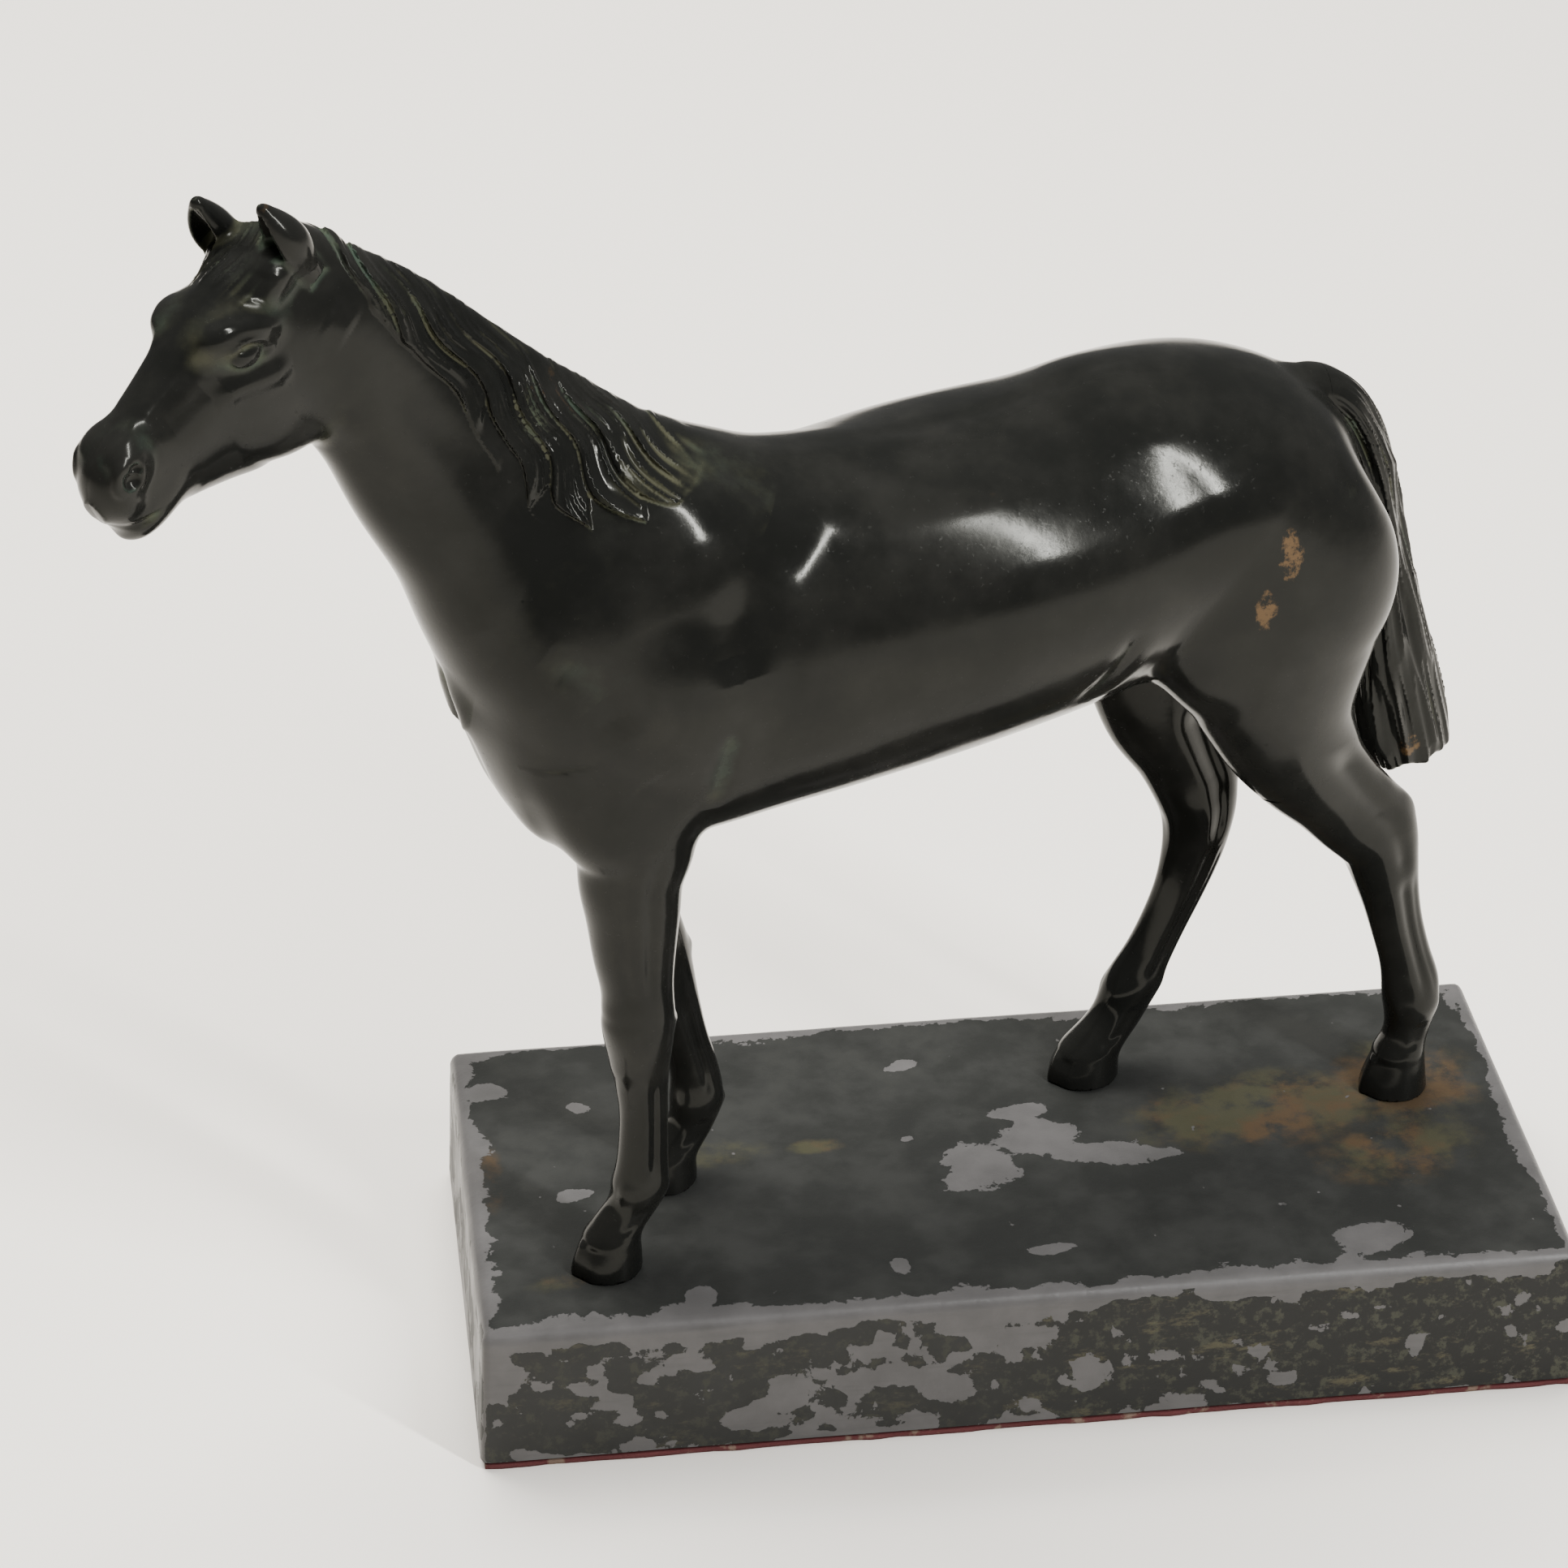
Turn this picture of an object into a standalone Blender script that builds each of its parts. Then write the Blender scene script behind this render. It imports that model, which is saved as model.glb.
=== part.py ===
"""Bronze standing horse on a rectangular slab, built the way the real statuette goes together.

The horse is lost-wax work: a hollow body casting, four leg castings and a tail casting, each with a
round tenon pinned into a socket. Four screws come up through counterbores in the slab into the hooves,
and a thin felt sheet covers the slab's underside.

Sizes are in millimetres and become metres when a mesh is made. The base frame has its origin at the
centre of the felt's underside, +X along the slab towards the tail and -Y towards the horse's left side.
The horse has a frame of its own, turned about Z, with its origin on the slab's top face.
"""

import math

import bmesh
import bpy
from mathutils import Matrix, Vector

# Driving dimensions
MM = 0.001
GAP = 0.3

BASE_LENGTH = 240.0
BASE_DEPTH = 112.0
BASE_TOP = 34.7
BASE_DRAFT = 1.4
BASE_EDGE_RADIUS = 2.9
BASE_CORNER_RADIUS = 2.2
FELT_THICKNESS = 1.3
FELT_INSET = 0.4

HORSE_TURN = math.radians(15.0)
HORSE_SHIFT_Y = 4.5

TENON_RADIUS = 4.6
TENON_LENGTH = 13.0
FORE_JOINT_HEIGHT = 95.0
PIN_RADIUS = 1.3
PIN_STAND_OUT = 1.6
DRILL_RUN_OUT = 40.0
TAIL_PEG_RADIUS = 3.0
TAIL_PEG_LENGTH = 11.0
WALL = 4.5

SCREW_RADIUS = 2.0
SCREW_HEAD_RADIUS = 3.6
SCREW_HEAD_HEIGHT = 4.0
SCREW_SLOT_WIDTH = 1.2
SCREW_SLOT_DEPTH = 1.6
SCREW_REACH_IN_HOOF = 6.0
WASHER_RADIUS = 5.2
WASHER_THICKNESS = 1.2
COUNTERBORE_RADIUS = 6.2
COUNTERBORE_DEPTH = 12.0

STEPS_BETWEEN_STATIONS = 2
TRUNK_SIDES = 20
NECK_SIDES = 16
HEAD_SIDES = 16
LIMB_SIDES = 12
TAIL_SIDES = 12
EAR_SIDES = 10
ROUND_SIDES = 24
PIN_SIDES = 12
END_DOME = 0.8

# Trunk: x, top z, bottom z, half width, and how much narrower the top is than the bottom
TRUNK = (
    (-117.0, 146.0, 130.0, 7.0, 0.00),
    (-113.0, 160.0, 117.0, 16.0, 0.00),
    (-105.0, 172.0, 107.5, 22.0, 0.05),
    (-95.0, 182.0, 103.0, 25.5, 0.15),
    (-82.0, 192.0, 101.5, 27.5, 0.30),
    (-70.0, 190.0, 102.5, 29.5, 0.25),
    (-56.0, 184.0, 104.0, 31.5, 0.12),
    (-40.0, 180.0, 105.5, 33.0, 0.05),
    (-15.0, 179.2, 108.3, 34.0, 0.00),
    (5.0, 183.5, 111.5, 33.5, 0.00),
    (20.0, 187.0, 114.0, 32.5, 0.00),
    (36.0, 187.0, 118.0, 31.0, 0.00),
    (52.0, 184.0, 121.0, 28.5, 0.00),
    (64.0, 179.0, 126.0, 23.5, 0.00),
    (74.0, 171.0, 134.0, 16.0, 0.00),
    (80.0, 160.0, 144.0, 7.0, 0.00),
)

# Neck: x, y, z of the centre, half depth, half width, narrowing towards the crest
NECK = (
    (-80.0, 0.0, 150.0, 38.0, 24.0, 0.25),
    (-90.0, 0.0, 160.5, 36.8, 23.0, 0.30),
    (-98.5, 0.0, 172.0, 32.0, 19.5, 0.35),
    (-107.5, 0.0, 184.5, 27.2, 16.0, 0.35),
    (-117.5, -0.2, 197.3, 23.4, 13.0, 0.35),
    (-127.5, -0.8, 210.3, 20.4, 11.2, 0.35),
    (-137.0, -2.0, 221.0, 18.4, 10.2, 0.30),
    (-147.0, -4.0, 230.0, 16.5, 9.5, 0.20),
)

# Head, in its own frame: u along the face from the poll, top and bottom n, half width
POLL = (-155.0, -5.0, 249.0)
HEAD_YAW = math.radians(27.0)
HEAD_SLOPE = math.radians(29.0)
HEAD = (
    (-8.0, -3.5, -22.0, 7.5, 0.00),
    (-2.0, -0.8, -29.0, 8.8, -0.05),
    (5.0, 0.8, -34.5, 9.6, -0.10),
    (12.0, 1.8, -37.0, 10.2, -0.15),
    (19.0, 1.5, -36.5, 10.6, -0.22),
    (26.0, 0.0, -33.0, 9.8, -0.22),
    (33.0, -1.2, -28.5, 8.4, -0.15),
    (41.0, -2.0, -24.8, 7.0, -0.10),
    (48.0, -2.6, -22.0, 6.6, 0.00),
    (54.0, -3.6, -21.0, 6.7, 0.00),
    (58.5, -6.0, -19.5, 5.8, 0.00),
    (60.6, -9.5, -16.0, 3.5, 0.00),
)
EYE_AT = (21.0, 8.8, -5.5)
EYE_RADIUS = 3.4
EAR_SIDE = 5.6
EAR = (
    (0.5, 0.0, -4.0, 4.0, 3.2),
    (0.8, 0.3, 0.0, 4.1, 3.3),
    (1.0, 0.8, 4.0, 3.6, 2.9),
    (1.2, 1.2, 8.0, 2.6, 2.1),
    (1.2, 1.4, 11.2, 1.2, 1.0),
)

# Limbs: x, y, z of the centre, half size fore and aft, half size across
LEFT_FORE = (
    (-91.0, -15.0, 128.0, 18.0, 9.0),
    (-89.5, -16.0, 116.0, 16.0, 10.5),
    (-87.9, -15.5, 106.0, 13.0, 9.5),
    (-88.7, -15.0, 98.0, 11.2, 8.6),
    (-88.3, -14.6, 90.0, 10.1, 8.0),
    (-87.8, -14.2, 80.0, 8.7, 7.2),
    (-87.1, -13.8, 70.4, 7.5, 6.4),
    (-86.9, -13.6, 62.6, 7.7, 6.9),
    (-87.1, -13.4, 54.8, 7.0, 6.4),
    (-86.8, -13.2, 47.5, 5.6, 4.9),
    (-86.4, -13.0, 38.0, 5.3, 4.1),
    (-86.8, -12.8, 27.0, 5.6, 4.4),
    (-87.6, -12.6, 19.5, 6.2, 5.2),
    (-89.8, -12.5, 14.2, 5.0, 4.8),
    (-92.4, -12.4, 10.4, 5.2, 5.2),
    (-93.8, -12.3, 6.5, 6.6, 6.5),
    (-95.0, -12.3, GAP, 8.1, 7.7),
)
RIGHT_FORE = (
    (-89.0, 15.0, 128.0, 18.0, 9.0),
    (-87.0, 16.0, 116.0, 16.0, 10.5),
    (-84.5, 15.5, 106.0, 13.0, 9.5),
    (-82.0, 15.0, 98.0, 11.2, 8.6),
    (-80.0, 14.6, 90.0, 10.1, 8.0),
    (-77.5, 14.2, 79.0, 8.5, 7.2),
    (-75.5, 14.0, 69.0, 7.4, 6.4),
    (-73.6, 13.8, 61.0, 7.5, 6.8),
    (-71.4, 13.7, 53.0, 6.6, 6.2),
    (-69.6, 13.6, 46.0, 5.5, 4.9),
    (-67.1, 13.5, 36.0, 5.1, 4.1),
    (-65.0, 13.5, 27.0, 5.4, 4.4),
    (-64.6, 13.4, 19.5, 6.0, 5.1),
    (-66.3, 13.4, 13.0, 4.9, 4.7),
    (-69.2, 13.4, 9.0, 5.2, 5.1),
    (-71.2, 13.4, 5.5, 6.6, 6.4),
    (-72.6, 13.4, GAP, 8.0, 7.6),
)
LEFT_HIND = (
    (42.0, -12.0, 168.0, 16.0, 9.0),
    (50.0, -16.5, 154.0, 26.0, 14.0),
    (54.5, -18.0, 138.0, 28.0, 15.5),
    (55.5, -18.0, 122.0, 23.5, 14.0),
    (59.0, -17.5, 105.0, 16.6, 11.0),
    (65.5, -16.8, 92.4, 12.9, 8.6),
    (72.9, -16.0, 82.9, 10.8, 7.2),
    (79.4, -15.5, 75.2, 10.4, 6.4),
    (84.4, -15.2, 68.8, 9.6, 6.2),
    (86.8, -15.2, 61.0, 8.2, 5.9),
    (88.9, -15.2, 52.7, 6.8, 4.9),
    (91.1, -15.2, 44.0, 6.1, 4.2),
    (93.8, -15.2, 34.7, 6.0, 4.1),
    (95.8, -15.2, 26.3, 6.8, 5.0),
    (96.1, -15.2, 19.6, 6.0, 5.0),
    (95.3, -15.2, 13.5, 5.0, 4.8),
    (94.2, -15.2, 9.5, 5.9, 5.7),
    (93.2, -15.2, GAP, 8.3, 7.7),
)
RIGHT_HIND = (
    (42.0, 12.0, 168.0, 16.0, 9.0),
    (49.0, 16.5, 154.0, 26.0, 14.0),
    (51.0, 18.0, 138.0, 27.0, 15.5),
    (47.0, 18.0, 122.0, 23.0, 14.0),
    (44.5, 17.5, 105.0, 17.0, 11.0),
    (46.5, 17.0, 92.0, 13.2, 8.8),
    (50.8, 16.5, 80.5, 10.4, 7.1),
    (54.5, 16.3, 72.3, 9.6, 6.3),
    (56.1, 16.3, 65.5, 8.9, 6.1),
    (55.5, 16.3, 57.5, 7.6, 5.8),
    (54.0, 16.4, 50.5, 6.7, 4.9),
    (51.8, 16.5, 43.5, 5.9, 4.2),
    (48.6, 16.6, 35.8, 5.5, 4.1),
    (45.2, 16.8, 28.0, 5.7, 4.3),
    (42.0, 16.8, 20.5, 6.6, 5.0),
    (38.6, 16.5, 13.8, 5.8, 5.0),
    (35.0, 16.0, 9.5, 5.6, 5.4),
    (32.2, 15.6, 5.8, 6.8, 6.6),
    (30.2, 15.4, GAP, 8.5, 7.7),
)
HIND_JOINT_STATION = 5

# Tail: x, y, z of the centre, half size along the back, half size across
TAIL = (
    (64.0, 0.0, 172.0, 4.0, 4.0),
    (70.0, 0.0, 173.0, 5.0, 5.0),
    (77.5, 0.0, 168.5, 5.6, 5.6),
    (83.0, 0.0, 159.0, 5.9, 6.0),
    (86.5, 0.0, 146.0, 6.0, 6.4),
    (90.4, 0.0, 125.7, 6.2, 6.8),
    (94.4, 0.0, 104.8, 7.2, 7.2),
    (97.8, 0.0, 89.7, 8.4, 7.0),
    (99.6, 0.0, 80.0, 8.0, 6.0),
    (100.0, 0.0, 76.0, 5.5, 4.0),
)
TAIL_JOINT_AT = (72.5, 0.0, 169.5)
TAIL_PIN_X = 67.0
GROOVE_START = 0.05

HOOF_CENTRES = {
    "left_fore": LEFT_FORE[-1],
    "right_fore": RIGHT_FORE[-1],
    "left_hind": LEFT_HIND[-1],
    "right_hind": RIGHT_HIND[-1],
}


def clear_scene():
    for obj in list(bpy.data.objects):
        bpy.data.objects.remove(obj, do_unlink=True)


def make_material(name, colour, roughness, metallic):
    material = bpy.data.materials.new(name)
    material.use_nodes = True
    shader = material.node_tree.nodes["Principled BSDF"]
    shader.inputs["Base Color"].default_value = (*colour, 1.0)
    shader.inputs["Roughness"].default_value = roughness
    shader.inputs["Metallic"].default_value = metallic
    return material


def add_object(name, mesh_data, material, parent=None):
    """A named object from a bmesh in millimetres."""
    bmesh.ops.recalc_face_normals(mesh_data, faces=mesh_data.faces)
    bmesh.ops.scale(mesh_data, vec=(MM, MM, MM), verts=mesh_data.verts)
    mesh = bpy.data.meshes.new(name)
    mesh_data.to_mesh(mesh)
    mesh_data.free()
    mesh.shade_smooth()
    mesh.set_sharp_from_angle(angle=math.radians(35.0))
    obj = bpy.data.objects.new(name, mesh)
    bpy.context.scene.collection.objects.link(obj)
    if material:
        mesh.materials.append(material)
    obj.parent = parent
    return obj


def boolean(target, tool, operation):
    """A Boolean modifier on target, with the tool left in the scene as a hidden guide."""
    modifier = target.modifiers.new(f"{operation.lower()}_{tool.name}", "BOOLEAN")
    modifier.operation = operation
    modifier.object = tool
    tool.hide_render = True
    tool.display_type = "WIRE"
    tool.hide_set(True)


# Lofting


def smooth_stations(stations, steps):
    """Stations with steps - 1 more between each pair, on a Catmull-Rom curve through them."""
    rows = [Vector(row) for row in stations]
    result = []
    for i in range(len(rows) - 1):
        before = rows[max(i - 1, 0)]
        here = rows[i]
        after = rows[i + 1]
        beyond = rows[min(i + 2, len(rows) - 1)]
        for step in range(steps):
            t = step / steps
            result.append(
                0.5
                * (
                    2.0 * here
                    + (after - before) * t
                    + (2.0 * before - 5.0 * here + 4.0 * after - beyond) * t * t
                    + (3.0 * here - 3.0 * after + beyond - before) * t * t * t
                )
            )
    result.append(rows[-1])
    return result


def ring(centre, along, across, half_along, half_across, narrowing, sides):
    """An egg-shaped ring: along is its tall axis, and narrowing thins its positive end."""
    points = []
    for i in range(sides):
        angle = 2.0 * math.pi * i / sides
        tall = math.sin(angle)
        width = half_across * (1.0 - narrowing * tall)
        points.append(centre + along * (half_along * tall) + across * (width * math.cos(angle)))
    return points


def loft(rings, dome=0.0):
    """A closed body through rings that have the same number of points, with a low dome on each end."""
    body = bmesh.new()
    loops = [[body.verts.new(point) for point in points] for points in rings]
    count = len(loops[0])
    for first, second in zip(loops, loops[1:]):
        for i in range(count):
            j = (i + 1) % count
            body.faces.new((first[i], first[j], second[j], second[i]))
    for end, inner in ((0, 1), (-1, -2)):
        middle = sum(rings[end], Vector()) / count
        outward = middle - sum(rings[inner], Vector()) / count
        pole = body.verts.new(middle + outward.normalized() * dome)
        for i in range(count):
            body.faces.new((loops[end][i], loops[end][(i + 1) % count], pole))
    bmesh.ops.triangulate(body, faces=body.faces)
    return body


def trunk_loft(inset=0.0):
    rings = []
    for x, top, bottom, half_width, narrowing in smooth_stations(TRUNK, STEPS_BETWEEN_STATIONS):
        half_height = (top - bottom) / 2.0 - inset
        centre = Vector((x, 0.0, (top + bottom) / 2.0))
        if half_height > 2.0 and half_width - inset > 2.0:
            up = Vector((0.0, 0.0, 1.0))
            side = Vector((0.0, 1.0, 0.0))
            rings.append(ring(centre, up, side, half_height, half_width - inset, narrowing, TRUNK_SIDES))
    return loft(rings, END_DOME)


def path_loft(stations, sides, level_end=False):
    """A loft whose rings stand square to the path of their centres, with Y as their cross axis."""
    rows = smooth_stations(stations, STEPS_BETWEEN_STATIONS)
    rings = []
    for i, row in enumerate(rows):
        before = Vector(rows[max(i - 1, 0)][:3])
        after = Vector(rows[min(i + 1, len(rows) - 1)][:3])
        travel = (after - before).normalized()
        if level_end and i == len(rows) - 1:
            travel = Vector((0.0, 0.0, -1.0))
        side = Vector((0.0, 1.0, 0.0))
        side = (side - travel * side.dot(travel)).normalized()
        along = side.cross(travel)
        narrowing = row[5] if len(row) > 5 else 0.0
        rings.append(ring(Vector(row[:3]), along, side, row[3], row[4], narrowing, sides))
    return loft(rings)


def head_point(u, s, n):
    """A point of the head: u along the face, s towards the horse's left, n out of the forehead."""
    level = Vector((-math.cos(HEAD_YAW), -math.sin(HEAD_YAW), 0.0))
    face = level * math.cos(HEAD_SLOPE) - Vector((0.0, 0.0, math.sin(HEAD_SLOPE)))
    left = Vector((0.0, 0.0, 1.0)).cross(level)
    return Vector(POLL) + face * u + left * s + face.cross(left) * n


def head_loft():
    rings = []
    for u, top, bottom, half_width, narrowing in smooth_stations(HEAD, STEPS_BETWEEN_STATIONS):
        centre = head_point(u, 0.0, (top + bottom) / 2.0)
        across = head_point(u, 1.0, 0.0) - head_point(u, 0.0, 0.0)
        out = head_point(u, 0.0, 1.0) - head_point(u, 0.0, 0.0)
        half_height = (top - bottom) / 2.0
        rings.append(ring(centre, out, across, half_height, half_width, narrowing, HEAD_SIDES))
    return loft(rings, END_DOME)


def ear_loft(side):
    rings = []
    for u, spread, n, half_along, half_across in EAR:
        centre = head_point(u, side * (EAR_SIDE + spread), n)
        forward = head_point(1.0, 0.0, 0.0) - head_point(0.0, 0.0, 0.0)
        across = head_point(0.0, 1.0, 0.0) - head_point(0.0, 0.0, 0.0)
        rings.append(ring(centre, forward, across, half_along, half_across, 0.0, EAR_SIDES))
    return loft(rings, END_DOME)


def eye_ball(side):
    body = bmesh.new()
    bmesh.ops.create_uvsphere(body, u_segments=12, v_segments=8, radius=EYE_RADIUS)
    u, s, n = EYE_AT
    bmesh.ops.translate(body, vec=head_point(u, side * s, n), verts=body.verts)
    bmesh.ops.triangulate(body, faces=body.faces)
    return body


def grown(stations, amount):
    """The same path with each half size larger by amount."""
    return [(x, y, z, along + amount, across + amount) for x, y, z, along, across in stations]


def half_of(body, point, normal):
    """What lies on the side of a plane that its normal points away from, closed with a flat face."""
    everything = body.verts[:] + body.edges[:] + body.faces[:]
    cut = bmesh.ops.bisect_plane(
        body, geom=everything, plane_co=point, plane_no=normal, clear_outer=True, dist=1e-6
    )
    rim = [item for item in cut["geom_cut"] if isinstance(item, bmesh.types.BMEdge)]
    bmesh.ops.triangle_fill(body, edges=rim, use_beauty=True)
    return body


def rod(start, end, radius, sides=ROUND_SIDES):
    """A solid round bar between two points."""
    start = Vector(start)
    end = Vector(end)
    body = bmesh.new()
    bmesh.ops.create_cone(
        body,
        cap_ends=True,
        cap_tris=False,
        segments=sides,
        radius1=radius,
        radius2=radius,
        depth=(end - start).length,
    )
    turn = Vector((0.0, 0.0, 1.0)).rotation_difference(end - start).to_matrix().to_4x4()
    bmesh.ops.transform(body, matrix=Matrix.Translation((start + end) / 2.0) @ turn, verts=body.verts)
    return body


# Horse


def joint_plane(stations, is_hind):
    """The point and the downward normal of the plane where a leg casting meets the body casting."""
    if is_hind:
        here = Vector(stations[HIND_JOINT_STATION][:3])
        below = Vector(stations[HIND_JOINT_STATION + 1][:3])
        above = Vector(stations[HIND_JOINT_STATION - 1][:3])
        return here, (below - above).normalized()
    for above, below in zip(stations, stations[1:]):
        if above[2] >= FORE_JOINT_HEIGHT > below[2]:
            share = (above[2] - FORE_JOINT_HEIGHT) / (above[2] - below[2])
            here = Vector(above[:3]).lerp(Vector(below[:3]), share)
            return here, Vector((0.0, 0.0, -1.0))


def add_leg(name, stations, is_hind, body, bronze, horse):
    """The lower leg casting with its tenon, and the root, socket and pin hole that it needs on the body."""
    point, down = joint_plane(stations, is_hind)
    upper = half_of(path_loft(stations, LIMB_SIDES), point, down)
    boolean(body, add_object(f"{name}_root_shape", upper, None, horse), "UNION")
    lower = half_of(path_loft(stations, LIMB_SIDES, level_end=True), point + down * GAP, -down)
    leg = add_object(f"{name}_leg", lower, bronze, horse)
    tenon_top = point - down * TENON_LENGTH
    tenon = add_object(f"{name}_tenon_shape", rod(point + down * 2.0, tenon_top, TENON_RADIUS), None, horse)
    boolean(leg, tenon, "UNION")
    return leg, point, down


def add_socket(name, point, down, body, horse):
    socket_top = point - down * (TENON_LENGTH + GAP)
    mouth = point + down * 2.0
    socket = add_object(f"{name}_socket_shape", rod(mouth, socket_top, TENON_RADIUS + GAP), None, horse)
    boolean(body, socket, "DIFFERENCE")


def add_joint_pin(name, middle, outward, half_peg, body, casting, pin_metal, horse):
    """A pin across a peg, in a blind hole drilled through the body's wall from outside."""
    outer = middle + outward * DRILL_RUN_OUT
    inner = middle - outward * (half_peg + 1.0)
    hole = add_object(f"{name}_pin_hole_shape", rod(inner, outer, PIN_RADIUS + GAP, PIN_SIDES), None, horse)
    boolean(body, hole, "DIFFERENCE")
    boolean(casting, hole, "DIFFERENCE")
    pin_end = middle + outward * (half_peg + PIN_STAND_OUT)
    pin = rod(inner + outward * GAP, pin_end, PIN_RADIUS, PIN_SIDES)
    add_object(f"{name}_joint_pin", pin, pin_metal, horse)


def add_body(bronze, horse):
    """The body casting: trunk, neck, head, ears and eyes in one piece."""
    body = add_object("body_casting", trunk_loft(), bronze, horse)
    shapes = {
        "neck_shape": path_loft(NECK, NECK_SIDES),
        "head_shape": head_loft(),
        "left_ear_shape": ear_loft(1.0),
        "right_ear_shape": ear_loft(-1.0),
        "left_eye_shape": eye_ball(1.0),
        "right_eye_shape": eye_ball(-1.0),
    }
    for name, shape in shapes.items():
        boolean(body, add_object(name, shape, None, horse), "UNION")
    return body


def add_horse(bronze, pin_metal):
    horse = bpy.data.objects.new("horse_axis", None)
    bpy.context.scene.collection.objects.link(horse)
    horse.rotation_euler = (0.0, 0.0, HORSE_TURN)
    turned_shift = Matrix.Rotation(HORSE_TURN, 3, "Z") @ Vector((0.0, HORSE_SHIFT_Y, 0.0))
    horse.location = (turned_shift + Vector((0.0, 0.0, BASE_TOP))) * MM
    body = add_body(bronze, horse)
    legs = {
        "left_fore": (LEFT_FORE, False),
        "right_fore": (RIGHT_FORE, False),
        "left_hind": (LEFT_HIND, True),
        "right_hind": (RIGHT_HIND, True),
    }
    joints = {}
    for name, (stations, is_hind) in legs.items():
        joints[name] = add_leg(name, stations, is_hind, body, bronze, horse)
    core = add_object("core_shape", trunk_loft(WALL), None, horse)
    boolean(body, core, "DIFFERENCE")
    for name, (leg, point, down) in joints.items():
        add_socket(name, point, down, body, horse)
        outward = Vector((0.0, -1.0 if name.startswith("left") else 1.0, 0.0))
        middle = point - down * (TENON_LENGTH / 2.0)
        add_joint_pin(name, middle, outward, TENON_RADIUS, body, leg, pin_metal, horse)
    add_tail(body, bronze, pin_metal, horse)
    return {name: leg for name, (leg, point, down) in joints.items()}


def add_tail(body, bronze, pin_metal, horse):
    """The tail casting, with its dock on the body and a pinned peg between them."""
    at = Vector(TAIL_JOINT_AT)
    back = Vector((1.0, 0.0, 0.0))
    up = Vector((0.0, 0.0, 1.0))
    dock = add_object("dock_shape", half_of(path_loft(TAIL, TAIL_SIDES), at, back), None, horse)
    boolean(body, dock, "UNION")
    groove = half_of(path_loft(grown(TAIL, GAP), TAIL_SIDES), at + back * GROOVE_START, -back)
    boolean(body, add_object("tail_groove_shape", groove, None, horse), "DIFFERENCE")
    lower = half_of(path_loft(TAIL, TAIL_SIDES), at + back * GAP, -back)
    tail = add_object("tail_casting", lower, bronze, horse)
    mouth = at + back * 2.0
    peg_end = at - back * TAIL_PEG_LENGTH
    peg = add_object("tail_peg_shape", rod(mouth, peg_end, TAIL_PEG_RADIUS), None, horse)
    boolean(tail, peg, "UNION")
    hole = rod(mouth, peg_end - back * GAP, TAIL_PEG_RADIUS + GAP)
    boolean(body, add_object("tail_socket_shape", hole, None, horse), "DIFFERENCE")
    middle = Vector((TAIL_PIN_X, 0.0, at.z))
    add_joint_pin("tail", middle, up, TAIL_PEG_RADIUS, body, tail, pin_metal, horse)


# Base


def slab_body():
    """A slab with drafted sides, round vertical corners and a round top edge."""
    body = bmesh.new()
    bottom = FELT_THICKNESS + GAP
    half_x = BASE_LENGTH / 2.0
    half_y = BASE_DEPTH / 2.0
    corners = []
    for z, inset in ((bottom, 0.0), (BASE_TOP, BASE_DRAFT)):
        x = half_x - inset
        y = half_y - inset
        corners.append([body.verts.new(p) for p in ((-x, -y, z), (x, -y, z), (x, y, z), (-x, y, z))])
    low, high = corners
    body.faces.new(low)
    body.faces.new(high)
    for i in range(4):
        j = (i + 1) % 4
        body.faces.new((low[i], low[j], high[j], high[i]))
    body.verts.ensure_lookup_table()
    upright = [e for e in body.edges if abs(e.verts[0].co.z - e.verts[1].co.z) > 1.0]
    bmesh.ops.bevel(body, geom=upright, offset=BASE_CORNER_RADIUS, segments=3, profile=0.5, affect="EDGES")
    rim = [e for e in body.edges if min(v.co.z for v in e.verts) > BASE_TOP - 0.01]
    bmesh.ops.bevel(body, geom=rim, offset=BASE_EDGE_RADIUS, segments=4, profile=0.5, affect="EDGES")
    return body


def felt_body():
    body = bmesh.new()
    bmesh.ops.create_cube(body, size=1.0)
    size = (BASE_LENGTH - 2.0 * FELT_INSET, BASE_DEPTH - 2.0 * FELT_INSET, FELT_THICKNESS)
    bmesh.ops.scale(body, vec=size, verts=body.verts)
    bmesh.ops.translate(body, vec=(0.0, 0.0, FELT_THICKNESS / 2.0), verts=body.verts)
    upright = [e for e in body.edges if abs(e.verts[0].co.z - e.verts[1].co.z) > 0.5]
    bmesh.ops.bevel(body, geom=upright, offset=BASE_CORNER_RADIUS, segments=3, profile=0.5, affect="EDGES")
    return body


def on_base(point):
    """A point of the horse's frame, in the base frame."""
    turned = Matrix.Rotation(HORSE_TURN, 3, "Z") @ Vector((point[0], point[1] + HORSE_SHIFT_Y, 0.0))
    return turned + Vector((0.0, 0.0, BASE_TOP + point[2]))


def turned_body(centre, profile, closed_ring=False):
    """A body turned about a vertical axis from (radius, z) points, with flat ends unless it is a ring."""
    body = bmesh.new()
    rows = []
    for radius, z in profile:
        row = []
        for i in range(ROUND_SIDES):
            angle = 2.0 * math.pi * i / ROUND_SIDES
            x = centre.x + radius * math.cos(angle)
            y = centre.y + radius * math.sin(angle)
            row.append(body.verts.new((x, y, z)))
        rows.append(row)
    pairs = list(zip(rows, rows[1:]))
    if closed_ring:
        pairs.append((rows[-1], rows[0]))
    for low, high in pairs:
        for i in range(ROUND_SIDES):
            j = (i + 1) % ROUND_SIDES
            body.faces.new((low[i], low[j], high[j], high[i]))
    if not closed_ring:
        body.faces.new(rows[0])
        body.faces.new(rows[-1])
    return body


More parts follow.
